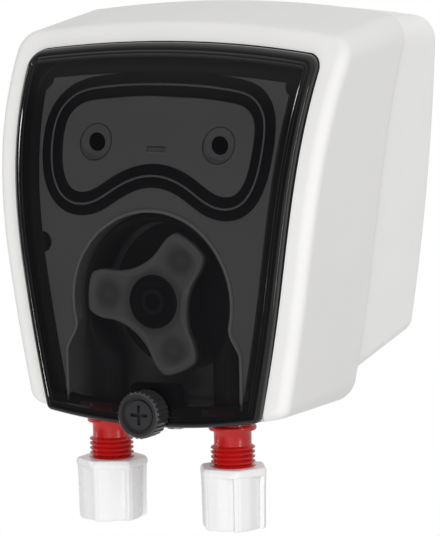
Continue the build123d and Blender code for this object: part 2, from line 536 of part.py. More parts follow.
tube = Solid.make_loft([tube_section(*q) for q in full], True)
tube = cut(tube, *[cyl_z(s * LEG_X, LEG_Y, TUBE_BORE_R, TUBE_FLOOR - 1, 28.8) for s in (-1, 1)])
parts["pump_tube"] = tube

# ---------------------------------------------------------------- rotor
PLATE_F0, PLATE_F1 = 0.9, 3.4
PLATE_R0, PLATE_R1 = 18.9, 20.9
face = prism_y(Face(Wire([Edge.make_circle(CARRIER_R, Plane(origin=(0, PLATE_F0, ROTOR_Z), z_dir=(0, 1, 0)))])), PLATE_F0, PLATE_F1)
SCALLOP_C, SCALLOP_R = 34.0, 21.2
carrier = cut(face, *[cyl_y(*(lambda p: (p[0], p[2]))(polar(SCALLOP_C, a + 60.0, 0)), SCALLOP_R, 0, 5) for a in ARM_ANGLES])
carrier = try_fillet(carrier, 2.6, [e for e in carrier.edges() if abs((e % 0.5).Y) > 0.9 and math.hypot((e @ 0.5).X, (e @ 0.5).Z - ROTOR_Z) > 20])
carrier = cut(carrier, cyl_y(0, ROTOR_Z, 7.6, 0, PLATE_F1 - 0.6), cyl_y(0, ROTOR_Z, 1.6, 0, 10))
PIN_R = 1.5
for a in ARM_ANGLES:
    p = polar(ROLLER_PITCH_R, a, 0)
    carrier = cut(carrier, cyl_y(p[0], p[2], PIN_R, PLATE_F0 + 0.9, 10))
parts["rotor_front_plate"] = carrier
core = fuse(cyl_y(0, ROTOR_Z, 23.4, PLATE_R0, PLATE_R1), cyl_y(0, ROTOR_Z, 8.2, PLATE_F1, PLATE_R1))
core = cut(core, cyl_y(0, ROTOR_Z, 4.0, PLATE_F1 + 2.0, 30), cyl_y(0, ROTOR_Z, 1.6, 0, 10))
for a in ARM_ANGLES:
    p = polar(ROLLER_PITCH_R, a, 0)
    core = cut(core, cyl_y(p[0], p[2], PIN_R, PLATE_R0 - 1, PLATE_R1 - 0.6))
    # clearance beside each roller
    core = cut(core, cut(cyl_y(p[0], p[2], ROLLER_R + 0.4, PLATE_F1, PLATE_R0)))
parts["rotor_core"] = core
pins, rollers = [], {}
for i, a in enumerate(ARM_ANGLES):
    p = polar(ROLLER_PITCH_R, a, 0)
    pins.append(cyl_y(p[0], p[2], PIN_R, PLATE_F0 + 0.9, PLATE_R1 - 0.6))
    r = rev_y([(PIN_R + 0.05, PLATE_F1 + 0.3), (ROLLER_R - 0.5, PLATE_F1 + 0.3), (ROLLER_R, PLATE_F1 + 0.9), (ROLLER_R, PLATE_R0 - 0.9),
               (ROLLER_R - 0.5, PLATE_R0 - 0.3), (PIN_R + 0.05, PLATE_R0 - 0.3)], p[0], p[2])
    rollers[f"roller_{i + 1}"] = r
parts["roller_pins"] = Compound(pins)
parts.update(rollers)
parts["rotor_screw"] = cut(rev_y([(0, 1.5), (2.75, 1.5), (2.75, PLATE_F1 - 0.6), (1.5, PLATE_F1 - 0.6), (1.5, 12.0), (0, 12.6)], 0, ROTOR_Z),
                           cyl_y(0, ROTOR_Z, 1.2, 1.0, 2.2))
parts["rotor_cap"] = rev_y([(0, 0.75), (3.6, 0.75), (4.0, 1.15), (5.4, 1.15), (5.8, 0.45), (7.0, 0.45), (7.5, 0.9), (7.5, PLATE_F1 - 0.6), (3.1, PLATE_F1 - 0.6), (3.1, 1.35), (0, 1.35)], 0, ROTOR_Z)

# ---------------------------------------------------------------- gearbox and motor
GB_Y0 = BAY_BACK_Y
LAY_Z = ROTOR_Z + GEAR_CD


def gear(teeth, cx, cz, y0, y1, tooth_deg, extra_root=0.0):
    r = MODULE * teeth / 2
    pa = math.radians(PRESSURE)
    rb = r * math.cos(pa)
    ra = r + MODULE * 0.95
    rf = r - MODULE * 1.25 - extra_root
    inv = math.tan(pa) - pa
    half_p = math.pi / (2 * teeth) - BACKLASH / (2 * r)
    pts = []
    for i in range(teeth):
        c = math.radians(tooth_deg) + 2 * math.pi * i / teeth
        fl = []
        r0 = max(rb, rf)
        for j in range(6):
            rho = r0 + (ra - r0) * j / 5
            phi = math.acos(min(1.0, rb / rho))
            fl.append((rho, half_p + inv - (math.tan(phi) - phi)))
        if rf < rb:
            fl = [(rf, fl[0][1])] + fl
        for rho, h in fl:
            pts.append((cx + rho * math.cos(c - h), y0, cz + rho * math.sin(c - h)))
        for rho, h in reversed(fl):
            pts.append((cx + rho * math.cos(c + h), y0, cz + rho * math.sin(c + h)))
    return prism_y(poly_face(pts), y0, y1)


def obround(r, y0, y1, z0, z1):
    return fuse(cyl_y(0, z0, r, y0, y1), cyl_y(0, z1, r, y0, y1), box(-r, r, y0, y1, z0, z1))


gp = obround(23.0, GB_Y0, GB_Y0 + 2.0, ROTOR_Z, LAY_Z)
gp = fuse(gp, *[cyl_y(x, z, 4.4, GB_Y0, GB_Y0 + 2.0) for x, z in GEAR_FIX])
gp = cut(gp, cyl_y(0, ROTOR_Z, 6.0, 20, 40), cyl_y(0, LAY_Z, 1.5, 20, 40))
for x, z in GEAR_FIX:
    gp = cut(gp, cyl_y(x, z, 1.65, 20, 40))
parts["gearbox_plate"] = gp
case = obround(23.0, GB_Y0 + 2.0, GB_Y0 + 17.0, ROTOR_Z, LAY_Z)
case = fuse(case, *[cyl_y(x, z, 4.4, GB_Y0 + 2.0, GB_Y0 + 17.0) for x, z in GEAR_FIX])
case = cut(case, obround(21.2, GB_Y0 + 1.0, GB_Y0 + 15.0, ROTOR_Z, LAY_Z))
case = cut(case, *[cyl_y(x, z, 1.65, 20, 60) for x, z in GEAR_FIX])
mid = cut(obround(21.1, GB_Y0 + 8.6, GB_Y0 + 9.8, ROTOR_Z, LAY_Z), cyl_y(0, ROTOR_Z, 2.05, 20, 60), cyl_y(0, LAY_Z, 6.6, 20, 60))
case = cut(case, cyl_y(0, ROTOR_Z, 4.0, 20, 60), cyl_y(0, LAY_Z, 1.5, 20, GB_Y0 + 16.0))
parts["gearbox_case"] = case
parts["gearbox_mid_plate"] = mid
OUT_Y0 = GB_Y0 + 4.0
parts["output_shaft"] = cut(fuse(cyl_y(0, ROTOR_Z, 4.0, PLATE_F1 + 2.0, OUT_Y0 + 4.3), cyl_y(0, ROTOR_Z, 2.0, OUT_Y0 + 4.3, GB_Y0 + 9.6)),
                            cyl_y(0, ROTOR_Z, 1.5, 0, 12.6))
parts["output_gear"] = cut(gear(BIG_T, 0, ROTOR_Z, OUT_Y0, OUT_Y0 + 4.0, 90.0), cyl_y(0, ROTOR_Z, 4.0, 20, 60))
lay = fuse(gear(SMALL_T, 0, LAY_Z, OUT_Y0 - 0.4, GB_Y0 + 10.6, 270.0 + 180.0 / SMALL_T), gear(BIG_T, 0, LAY_Z, GB_Y0 + 10.6, GB_Y0 + 13.8, 270.0))
parts["lay_gear"] = cut(lay, cyl_y(0, LAY_Z, 1.54, 20, 60))
parts["lay_pin"] = cyl_y(0, LAY_Z, 1.5, GB_Y0, GB_Y0 + 16.0)
parts["output_bush"] = cut(fuse(cyl_y(0, ROTOR_Z, 6.0, GB_Y0 - 0.0, GB_Y0 + 2.0), cyl_y(0, ROTOR_Z, 7.5, GB_Y0 + 2.0, GB_Y0 + 3.6)), cyl_y(0, ROTOR_Z, 4.03, 0, 60))
parts["shaft_seal"] = cut(cyl_y(0, ROTOR_Z, 9.0, BAY_FLOOR_Y, BAY_BACK_Y), cyl_y(0, ROTOR_Z, 4.05, 0, 60))
gs = [rev_y([(0, GB_Y0 + 19.0), (2.9, GB_Y0 + 19.0), (2.9, GB_Y0 + 17.0), (1.6, GB_Y0 + 17.0), (1.6, BAY_FLOOR_Y + 0.3), (0, BAY_FLOOR_Y + 0.3)], x, z) for x, z in GEAR_FIX]
parts["gearbox_screws"] = Compound(gs)

MOT_Y0 = GB_Y0 + 17.0
MOT_R = 18.0
can = cut(cyl_y(0, ROTOR_Z, MOT_R, MOT_Y0, MOT_Y0 + 28.0), cyl_y(0, ROTOR_Z, MOT_R - 1.2, MOT_Y0 + 1.6, MOT_Y0 + 29.0), cyl_y(0, ROTOR_Z, 4.0, 20, 60))
parts["motor_can"] = can
parts["motor_end_cap"] = cut(cyl_y(0, ROTOR_Z, MOT_R - 1.2, MOT_Y0 + 25.6, MOT_Y0 + 28.0), cyl_y(0, ROTOR_Z, 1.53, 20, 90))
parts["motor_bush"] = cut(cyl_y(0, ROTOR_Z, 4.0, MOT_Y0 - 2.0, MOT_Y0 + 1.6), cyl_y(0, ROTOR_Z, 1.53, 20, 90))
mg = cut(cyl_y(0, ROTOR_Z, MOT_R - 1.2, MOT_Y0 + 4.0, MOT_Y0 + 22.0), cyl_y(0, ROTOR_Z, 11.2, 20, 90),
         box(-5, 5, 20, 90, 20, 80))
parts["motor_magnets"] = mg
arm = fuse(cyl_y(0, ROTOR_Z, 1.5, GB_Y0 + 10.4, MOT_Y0 + 28.0), cyl_y(0, ROTOR_Z, 10.4, MOT_Y0 + 5.0, MOT_Y0 + 20.0), cyl_y(0, ROTOR_Z, 3.6, MOT_Y0 + 20.0, MOT_Y0 + 24.4))
arm = cut(arm, *[cyl_y(10.4 * math.cos(math.radians(k * 60 + 30)), ROTOR_Z + 10.4 * math.sin(math.radians(k * 60 + 30)), 2.2, MOT_Y0 + 4, MOT_Y0 + 21) for k in range(6)])
parts["motor_armature"] = arm
parts["motor_pinion"] = cut(gear(SMALL_T, 0, ROTOR_Z, GB_Y0 + 10.4, GB_Y0 + 14.2, 90.0 + 180.0 / SMALL_T), cyl_y(0, ROTOR_Z, 1.5, 20, 60))

# ---------------------------------------------------------------- electronics and cable gland
BD_Y, BD_Z0, BD_Z1, BD_X = 66.0, 98.5, 128.0, 40.0
bd = box(-BD_X, BD_X, BD_Y, BD_Y + 1.6, BD_Z0, BD_Z1)
BD_FIX = [(sx * 36.0, z) for sx in (-1, 1) for z in (102.0, 124.5)]
for x, z in BD_FIX:
    bd = cut(bd, cyl_y(x, z, 1.6, 60, 80))
    post = cut(common(cyl_y(x, z, 3.0, BD_Y + 1.6, back_y - 2.0), rear_full), cyl_y(x, z, 1.25, BD_Y, BD_Y + 10))
    parts["rear_housing"] = fuse(parts["rear_housing"], post)
parts["control_board"] = bd
parts["board_screws"] = Compound([rev_y([(0, BD_Y - 1.8), (2.6, BD_Y - 1.8), (2.6, BD_Y), (1.25, BD_Y), (1.25, BD_Y + 9.0), (0, BD_Y + 9.4)], x, z) for x, z in BD_FIX])
parts["terminal_block"] = cut(box(-30, -4, BD_Y - 9.0, BD_Y, BD_Z0 + 1.0, BD_Z0 + 11.0), *[cyl_z(-27.0 + 4.6 * i + 1.6, BD_Y - 4.6, 1.5, BD_Z0, BD_Z0 + 7) for i in range(5)])
parts["power_supply_block"] = box(4, 30, BD_Y - 10.0, BD_Y, 104, 125)
parts["capacitors"] = Compound([cyl_y(x, z, 4.0, BD_Y - 10.0, BD_Y) for x, z in ((-24.0, 119.5), (-12.0, 119.5))])

parts["cable_gland"] = cut(fuse(cyl_z(GLAND_X, GLAND_Y, 6.0, 12.6, 31.0), extrude(Plane(origin=(GLAND_X, GLAND_Y, 12.6)) * RegularPolygon(9.2, 6), 4.4).solid(),
                                cyl_z(GLAND_X, GLAND_Y, 5.4, 3.0, 12.6)), cyl_z(GLAND_X, GLAND_Y, 3.6, 0, 40))
parts["gland_locknut"] = cut(extrude(Plane(origin=(GLAND_X, GLAND_Y, 27.0)) * RegularPolygon(9.0, 6), 3.0).solid(), cyl_z(GLAND_X, GLAND_Y, 6.0, 0, 40))
parts["gland_dome_nut"] = cut(rev_z([(0, 12.4), (8.4, 12.4), (8.4, 5.0), (6.4, 0.6), (0, 0.6)], GLAND_X, GLAND_Y), cyl_z(GLAND_X, GLAND_Y, 5.45, 2.95, 13), cyl_z(GLAND_X, GLAND_Y, 3.9, -3, 13))

# ---------------------------------------------------------------- export
shift = Location((0, -WALL_Y, -DATUM_Z))
for name, shape in parts.items():
    export_step(shape.moved(shift), f"parts/{name}.step")
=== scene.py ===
import bpy, bmesh, math, json
import numpy as np
from mathutils import Matrix, Vector


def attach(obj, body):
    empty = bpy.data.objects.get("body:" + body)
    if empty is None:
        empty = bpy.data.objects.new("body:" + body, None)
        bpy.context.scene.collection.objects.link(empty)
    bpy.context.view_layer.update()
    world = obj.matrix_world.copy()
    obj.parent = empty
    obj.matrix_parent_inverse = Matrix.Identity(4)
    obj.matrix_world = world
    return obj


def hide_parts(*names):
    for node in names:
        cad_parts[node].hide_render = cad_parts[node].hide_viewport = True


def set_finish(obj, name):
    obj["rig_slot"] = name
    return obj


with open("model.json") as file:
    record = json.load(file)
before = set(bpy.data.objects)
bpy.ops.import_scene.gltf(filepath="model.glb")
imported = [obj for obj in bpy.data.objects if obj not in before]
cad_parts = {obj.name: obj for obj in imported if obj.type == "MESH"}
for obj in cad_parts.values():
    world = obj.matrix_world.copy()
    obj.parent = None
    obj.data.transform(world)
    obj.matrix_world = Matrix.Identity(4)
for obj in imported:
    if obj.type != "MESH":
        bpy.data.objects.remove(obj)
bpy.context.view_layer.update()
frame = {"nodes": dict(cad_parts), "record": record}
MM = 0.001
WALL_Y, DATUM_Z = 86.0, 72.0


def P(x, y, z):
    """A point given in the drawing's millimetres, in the row frame."""
    return Vector((x * MM, (y - WALL_Y) * MM, (z - DATUM_Z) * MM))


# ---------------------------------------------------------------- camera
az, el, roll = 0.51006, 0.12186, -0.01894
back = Vector((math.sin(az) * math.cos(el), -math.cos(az) * math.cos(el), math.sin(el)))
right = Vector((math.cos(az), math.sin(az), 0.0))
up = back.cross(right)
dist = 3874.0 / 3.26043
cam_data = bpy.data.cameras.new("camera")
cam = bpy.data.objects.new("camera", cam_data)
bpy.context.scene.collection.objects.link(cam)
R = math.cos(roll) * right + math.sin(roll) * up
U = math.cos(roll) * up - math.sin(roll) * right
rot = Matrix((R, U, back)).transposed()
cam.location = P(24.82, 0.0, 60.0) + back * dist * MM
cam.rotation_mode = "QUATERNION"
cam.rotation_quaternion = rot.to_quaternion()
cam_data.sensor_fit = "AUTO"
cam_data.sensor_width = 36.0
cam_data.lens = 3874.0 * 36.0 / 536.0
cam_data.clip_start, cam_data.clip_end = 0.05, 40.0
bpy.context.scene.camera = cam
bpy.context.scene.view_settings.view_transform = "Standard"
bpy.context.scene.view_settings.look = "None"


# ---------------------------------------------------------------- material helpers
def new_mat(name):
    m = bpy.data.materials.new(name)
    m.use_nodes = True
    nt = m.node_tree
    nt.nodes.clear()
    out = nt.nodes.new("ShaderNodeOutputMaterial")
    b = nt.nodes.new("ShaderNodeBsdfPrincipled")
    nt.links.new(b.outputs[0], out.inputs[0])
    return m, nt, b


def node(nt, kind, **inputs):
    n = nt.nodes.new(kind)
    for k, v in inputs.items():
        key = k.replace("_", " ")
        if key in n.inputs:
            n.inputs[key].default_value = v
        else:
            setattr(n, k, v)
    return n


def plastic(name, color, rough=0.45, spec=0.5, vary=0.03, scale=220.0, bump=0.02, fine=1400.0, rough_vary=0.05, sss=0.0, coat=0.0, dist=0.00002):
    """Moulded plastic: a slight drift of tone, fine moulded grain, and patchy gloss."""
    m, nt, b = new_mat(name)
    tc = node(nt, "ShaderNodeTexCoord")
    drift = node(nt, "ShaderNodeTexNoise", Scale=scale * 0.2, Detail=3.0, Roughness=0.5)
    nt.links.new(tc.outputs["Object"], drift.inputs["Vector"])
    ramp = node(nt, "ShaderNodeMapRange")
    ramp.inputs["From Min"].default_value, ramp.inputs["From Max"].default_value = 0.3, 0.7
    ramp.inputs["To Min"].default_value, ramp.inputs["To Max"].default_value = 1.0 - vary, 1.0 + vary * 0.5
    nt.links.new(drift.outputs["Fac"], ramp.inputs["Value"])
    mix = node(nt, "ShaderNodeMix")
    mix.data_type = "RGBA"
    mix.blend_type = "MULTIPLY"
    mix.inputs["Factor"].default_value = 1.0
    mix.inputs["A"].default_value = (*color, 1.0)
    nt.links.new(ramp.outputs["Result"], mix.inputs["B"])
    nt.links.new(mix.outputs["Result"], b.inputs["Base Color"])
    rr = node(nt, "ShaderNodeMapRange")
    rr.inputs["From Min"].default_value, rr.inputs["From Max"].default_value = 0.3, 0.7
    rr.inputs["To Min"].default_value, rr.inputs["To Max"].default_value = rough - rough_vary, rough + rough_vary
    n2 = node(nt, "ShaderNodeTexNoise", Scale=scale, Detail=2.0)
    nt.links.new(tc.outputs["Object"], n2.inputs["Vector"])
    nt.links.new(n2.outputs["Fac"], rr.inputs["Value"])
    nt.links.new(rr.outputs["Result"], b.inputs["Roughness"])
    n3 = node(nt, "ShaderNodeTexNoise", Scale=fine, Detail=2.0)
    nt.links.new(tc.outputs["Object"], n3.inputs["Vector"])
    bp = node(nt, "ShaderNodeBump", Strength=bump, Distance=dist)
    nt.links.new(n3.outputs["Fac"], bp.inputs["Height"])
    nt.links.new(bp.outputs["Normal"], b.inputs["Normal"])
    b.inputs["Specular IOR Level"].default_value = spec
    if sss:
        b.inputs["Subsurface Weight"].default_value = sss
        b.inputs["Subsurface Radius"].default_value = (0.004, 0.003, 0.0025)
        b.inputs["Subsurface Scale"].default_value = 1.0
    if coat:
        b.inputs["Coat Weight"].default_value = coat
        b.inputs["Coat Roughness"].default_value = 0.08
    return m


def metal(name, color, rough=0.3, aniso=0.0, scale=600.0):
    m, nt, b = new_mat(name)
    tc = node(nt, "ShaderNodeTexCoord")
    mp = node(nt, "ShaderNodeMapping")
    mp.inputs["Scale"].default_value = (1.0, 1.0, 14.0)
    nt.links.new(tc.outputs["Object"], mp.inputs["Vector"])
    n = node(nt, "ShaderNodeTexNoise", Scale=scale, Detail=3.0)
    nt.links.new(mp.outputs[0], n.inputs["Vector"])
    rr = node(nt, "ShaderNodeMapRange")
    rr.inputs["To Min"].default_value, rr.inputs["To Max"].default_value = rough * 0.75, rough * 1.3
    nt.links.new(n.outputs["Fac"], rr.inputs["Value"])
    nt.links.new(rr.outputs["Result"], b.inputs["Roughness"])
    cr = node(nt, "ShaderNodeMapRange")
    cr.inputs["To Min"].default_value, cr.inputs["To Max"].default_value = 0.9, 1.05
    nt.links.new(n.outputs["Fac"], cr.inputs["Value"])
    mix = node(nt, "ShaderNodeMix")
    mix.data_type = "RGBA"
    mix.blend_type = "MULTIPLY"
    mix.inputs["Factor"].default_value = 1.0
    mix.inputs["A"].default_value = (*color, 1.0)
    nt.links.new(cr.outputs["Result"], mix.inputs["B"])
    nt.links.new(mix.outputs["Result"], b.inputs["Base Color"])
    b.inputs["Metallic"].default_value = 1.0
    return m


MATS = {
    "housing_plastic": plastic("housing_plastic", (0.79, 0.785, 0.77), rough=0.52, vary=0.015, bump=0.03, fine=1800.0),
    "panel_plastic": plastic("panel_plastic", (0.62, 0.60, 0.615), rough=0.42, vary=0.02, bump=0.015),
    "black_plastic": plastic("black_plastic", (0.012, 0.012, 0.013), rough=0.32, bump=0.01, vary=0.1),
    "rubber_black": plastic("rubber_black", (0.012, 0.012, 0.012), rough=0.6, bump=0.01, vary=0.1),
    "pump_tube": plastic("pump_tube", (0.055, 0.053, 0.055), rough=0.4, vary=0.06),
    "roller_plastic": plastic("roller_plastic", (0.075, 0.075, 0.078), rough=0.3, vary=0.03),
    "red_plastic": plastic("red_plastic", (0.50, 0.008, 0.009), rough=0.24, vary=0.06, spec=0.5),
    "nut_plastic": plastic("nut_plastic", (0.79, 0.79, 0.79), rough=0.30, vary=0.0, sss=0.06),
    "steel": metal("steel", (0.55, 0.55, 0.56), 0.32),
    "brass": metal("brass", (0.75, 0.55, 0.24), 0.28),
    "cast_metal": metal("cast_metal", (0.62, 0.63, 0.64), 0.5),
    "board": plastic("board", (0.012, 0.10, 0.035), rough=0.35, vary=0.1),
    "capacitor": plastic("capacitor", (0.02, 0.03, 0.09), rough=0.25),
}

MATS["knob_plastic"] = plastic("knob_plastic", (0.032, 0.032, 0.034), rough=0.20, bump=0.01, vary=0.1)
def plastic_with_painted_shade(name, color, rough):
    """Moulded plastic with painted shade: the base colour darkens softly in the piece's dished parts and lightens a
    little on its front faces, by the piece's own depth attribute.
    """
    m = plastic(name, color, rough=rough, vary=0.02, bump=0.015)
    nt = m.node_tree
    b = [n for n in nt.nodes if n.type == "BSDF_PRINCIPLED"][0]
    src = b.inputs["Base Color"].links[0].from_socket
    # painted shade: the depth attribute scales the colour from 1.08 on the front faces down to 0.52 in the deepest
    # parts
    at = nt.nodes.new("ShaderNodeAttribute")
    at.attribute_name = "painted_shade_depth"
    mr = nt.nodes.new("ShaderNodeMapRange")
    mr.inputs["To Min"].default_value, mr.inputs["To Max"].default_value = 1.08, 0.52
    nt.links.new(at.outputs["Fac"], mr.inputs["Value"])
    mx = nt.nodes.new("ShaderNodeMix")
    mx.data_type = "RGBA"
    mx.blend_type = "MULTIPLY"
    mx.inputs["Factor"].default_value = 1.0
    nt.links.new(src, mx.inputs["A"])
    nt.links.new(mr.outputs["Result"], mx.inputs["B"])
    nt.links.new(mx.outputs["Result"], b.inputs["Base Color"])
    return m


# carrier plastic with painted shade in its dished parts
MATS["carrier_plastic_painted_shade"] = plastic_with_painted_shade("carrier_plastic_painted_shade", (0.60, 0.59, 0.60), 0.36)

MATS["cover_rim"] = plastic("cover_rim", (0.006, 0.006, 0.0065), rough=0.06, rough_vary=0.015, bump=0.0, vary=0.05, spec=0.4)
MATS["band_rubber"] = plastic("band_rubber", (0.055, 0.053, 0.055), rough=0.42, bump=0.01, vary=0.08)
MATS["seal_rubber"] = plastic("seal_rubber", (0.018, 0.017, 0.019), rough=0.36, bump=0.01, vary=0.08)
# light grey for the crest of the black seal's bead: painted highlight
MATS["seal_bead_painted_highlight"] = plastic("seal_bead_painted_highlight", (0.62, 0.61, 0.62), rough=0.35, bump=0.0, vary=0.03)
# near-white copy of the panel plastic: painted highlight lines on the track's lip and the slot's lower edge
MATS["panel_painted_highlight"] = plastic("panel_painted_highlight", (0.93, 0.92, 0.92), rough=0.22, bump=0.0, vary=0.02)
# near-black, matt: painted shade inside the screw wells
MATS["well_painted_shade"] = plastic("well_painted_shade", (0.004, 0.004, 0.0045), rough=0.7, bump=0.0, vary=0.05, spec=0.1)
# dark grey copy of the panel plastic: painted shade lines along recess and slot edges
MATS["panel_painted_shade"] = plastic("panel_painted_shade", (0.16, 0.15, 0.155), rough=0.5, bump=0.0, vary=0.03)
MATS["cap_black"] = plastic("cap_black", (0.012, 0.012, 0.014), rough=0.18, bump=0.0, vary=0.05)
# slightly lighter than the black cap: painted sheen on the hub's centre disc
MATS["hub_disc_painted_sheen"] = plastic("hub_disc_painted_sheen", (0.05, 0.05, 0.053), rough=0.22, bump=0.0, vary=0.05)
MATS["dark_steel"] = metal("dark_steel", (0.05, 0.05, 0.052), 0.35)
MATS["rotor_dark"] = plastic("rotor_dark", (0.06, 0.06, 0.063), rough=0.4, bump=0.01, vary=0.06)


def smoked(name, alpha, base):
    """Dark clear moulding: glossy, with faint waviness in the gloss."""
    m, nt, b = new_mat(name)
    tc = node(nt, "ShaderNodeTexCoord")
    sm = node(nt, "ShaderNodeTexNoise", Scale=60.0, Detail=2.0)
    nt.links.new(tc.outputs["Object"], sm.inputs["Vector"])
    sr = node(nt, "ShaderNodeMapRange")
    sr.inputs["To Min"].default_value, sr.inputs["To Max"].default_value = 0.015, 0.05
    nt.links.new(sm.outputs["Fac"], sr.inputs["Value"])
    nt.links.new(sr.outputs["Result"], b.inputs["Roughness"])
    b.inputs["Base Color"].default_value = (*base, 1.0)
    b.inputs["IOR"].default_value = 1.49
    b.inputs["Alpha"].default_value = alpha
    return m


MATS["smoked_glass"] = smoked("smoked_glass", 0.50, (0.006, 0.0055, 0.0065))
MATS["smoked_deep"] = smoked("smoked_deep", 0.80, (0.006, 0.0055, 0.0065))

SLOT = {s["node"]: s["material_slot"] for s in frame["record"]["subparts"]}
for n, o in frame["nodes"].items():
    o.data.materials.clear()
    o.data.materials.append(MATS[SLOT[n]])
    o["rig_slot"] = SLOT[n]
# lighter copy of the housing plastic for the rear body: painted light, for the brighter light falling on the rear
# housing
MATS["rear_plastic_painted_light"] = plastic("rear_plastic_painted_light", (0.88, 0.875, 0.86), rough=0.52, vary=0.015, bump=0.03, fine=1800.0)
for n, k in (("rear_housing", "rear_plastic_painted_light"), ("cover_thumbscrew", "knob_plastic"), ("head_screws", "dark_steel"), ("rotor_core", "rotor_dark")):
    frame["nodes"][n].data.materials[0] = MATS[k]

# ---------------------------------------------------------------- shapes shared with the drawing
MID_Z, HALF_W = 60.0, 46.09
COVER_TOP, COVER_BOT = 127.65, 9.22
BAND_SIDE, BAND_TOP, BAND_BOT = 7.6, 9.3, 6.5
ROTOR_Z, RACE_R, LEG_X, LEG_Y, KNOB_Z = 48.2, 27.8, 21.95, 11.2, 14.0
ARMS = (174.0, 54.0, -66.0)


def yf(z):
    t = max(0.0, (z - MID_Z) / 60.0)
    return 60.0 * (0.01137 * t + 0.10109 * t * t + 0.13736 * t ** 3)


def wc(z):
    t = (z - MID_Z) / 60.0
    return HALF_W + 60.0 * (0.13141 * t - 0.04991 * t * t + 0.0082 * t ** 3)


def arc_pts(p, q, r, n):
    """n + 1 points on the arc through p, q and r."""
    (ax, ay), (bx, by), (cx, cy) = p, q, r
    d = 2 * (ax * (by - cy) + bx * (cy - ay) + cx * (ay - by))
    if abs(d) < 1e-9:
        return [(ax + (cx - ax) * i / n, ay + (cy - ay) * i / n) for i in range(n + 1)]
    ux = ((ax * ax + ay * ay) * (by - cy) + (bx * bx + by * by) * (cy - ay) + (cx * cx + cy * cy) * (ay - by)) / d
    uy = ((ax * ax + ay * ay) * (cx - bx) + (bx * bx + by * by) * (ax - cx) + (cx * cx + cy * cy) * (bx - ax)) / d
    R_ = math.hypot(ax - ux, ay - uy)
    a0, a1, am = math.atan2(ay - uy, ax - ux), math.atan2(cy - uy, cx - ux), math.atan2(by - uy, bx - ux)
    ccw = (a1 - a0) % (2 * math.pi)
    if (am - a0) % (2 * math.pi) > ccw:
        ccw -= 2 * math.pi
    return [(ux + R_ * math.cos(a0 + ccw * i / n), uy + R_ * math.sin(a0 + ccw * i / n)) for i in range(n + 1)]


def resample(pts, s0, s1, n):
    """n + 1 points between the arc lengths s0 and s1 of a polyline."""
    a = np.array(pts)
    s = np.concatenate([[0.0], np.cumsum(np.hypot(*np.diff(a, axis=0).T))])
    t = np.linspace(s0, s[-1] - s1, n + 1)
    return list(zip(np.interp(t, s, a[:, 0]), np.interp(t, s, a[:, 1])))


def corner(pa, pb, r, n):
    """Arc of radius r between the end of pa and the start of pb; the lengths it takes from each."""
    da = Vector((pa[-1][0] - pa[-2][0], pa[-1][1] - pa[-2][1])).normalized()
    db = Vector((pb[1][0] - pb[0][0], pb[1][1] - pb[0][1])).normalized()
    turn = da.angle(db)
    t = r * math.tan(turn / 2)
    return t, turn


def half_outline(dw, zt, kt, zb, kb, rt, rb):
    """Right half of the bowed outline, from the bottom centre to the top centre, (x, z) in mm."""
    z = zt
    for _ in range(30):
        xt = wc(z) + dw
        z = zt - kt * xt * xt
    ztc = z
    z = zb
    for _ in range(30):
        xb = wc(z) + dw
        z = zb + kb * xb * xb
    zbc = z
    zm = 0.5 * (zbc + ztc)
    bottom = [p for p in arc_pts((-xb, zbc), (0, zb), (xb, zbc), 400) if p[0] >= -1e-9]
    side = arc_pts((xb, zbc), (wc(zm) + dw, zm), (xt, ztc), 400)
    top = [p for p in arc_pts((xt, ztc), (0, zt), (-xt, ztc), 400) if p[0] >= -1e-9]
    t1, _ = corner(bottom, side, rb, 8)
    t2, _ = corner(side, top, rt, 10)
    b = resample(bottom, 0.0, t1, 14)
    s = resample(side, t1, t2, 34)
    t = resample(top, t2, 0.0, 14)

    def blend(p0, p1, d0, d1, c, n):
        out = []
        for i in range(1, n):
            u = i / n
            # rational quadratic: an exact circular arc
            w_ = math.cos(d0.angle(d1) / 2)
            k0, k1, k2 = (1 - u) ** 2, 2 * u * (1 - u) * w_, u * u
            k = k0 + k1 + k2
            out.append(((k0 * p0[0] + k1 * c[0] + k2 * p1[0]) / k, (k0 * p0[1] + k1 * c[1] + k2 * p1[1]) / k))
        return out

    def dirn(p, q):
        return Vector((q[0] - p[0], q[1] - p[1])).normalized()

    f1 = blend(b[-1], s[0], dirn(b[-2], b[-1]), dirn(s[0], s[1]), bottom[-1], 8)
    f2 = blend(s[-1], t[0], dirn(s[-2], s[-1]), dirn(t[0], t[1]), side[-1], 12)
    pts = b + f1 + s + f2 + t
    pts[0] = (0.0, pts[0][1])
    pts[-1] = (0.0, pts[-1][1])
    return pts


def cover_half(d, top=None, bot=None, rt=5.0, rb=2.2):
    top = d if top is None else top
    bot = d if bot is None else bot
    return half_outline(-d, COVER_TOP - top, 0.00127, COVER_BOT + bot, 0.00243, max(0.8, rt), max(0.4, rb))


def loop_of(half, h):
    """Closed loop in drawing mm from a right half, h in front of the face surface."""
    r = [(x, yf(z) - h, z) for x, z in half]
    return r + [(-x, y, z) for x, y, z in r[-2:0:-1]]


def make_piece(name, verts, faces, mats, face_mats=None, sharp=32.0, recalc=True):
    me_ = bpy.data.meshes.new(name)
    me_.from_pydata([P(*v) for v in verts], [], faces)
    me_.validate()
    if recalc:
        bm = bmesh.new()
        bm.from_mesh(me_)
        bmesh.ops.recalc_face_normals(bm, faces=bm.faces[:])
        bm.to_mesh(me_)
        bm.free()
    for m_ in mats:
        me_.materials.append(m_)
    if face_mats and len(face_mats) == len(me_.polygons):
        for p_, k in zip(me_.polygons, face_mats):
            p_.material_index = k
    me_.polygons.foreach_set("use_smooth", [True] * len(me_.polygons))
    me_.set_sharp_from_angle(angle=math.radians(sharp))
    o_ = bpy.data.objects.new(name, me_)
    bpy.context.scene.collection.objects.link(o_)
    return o_


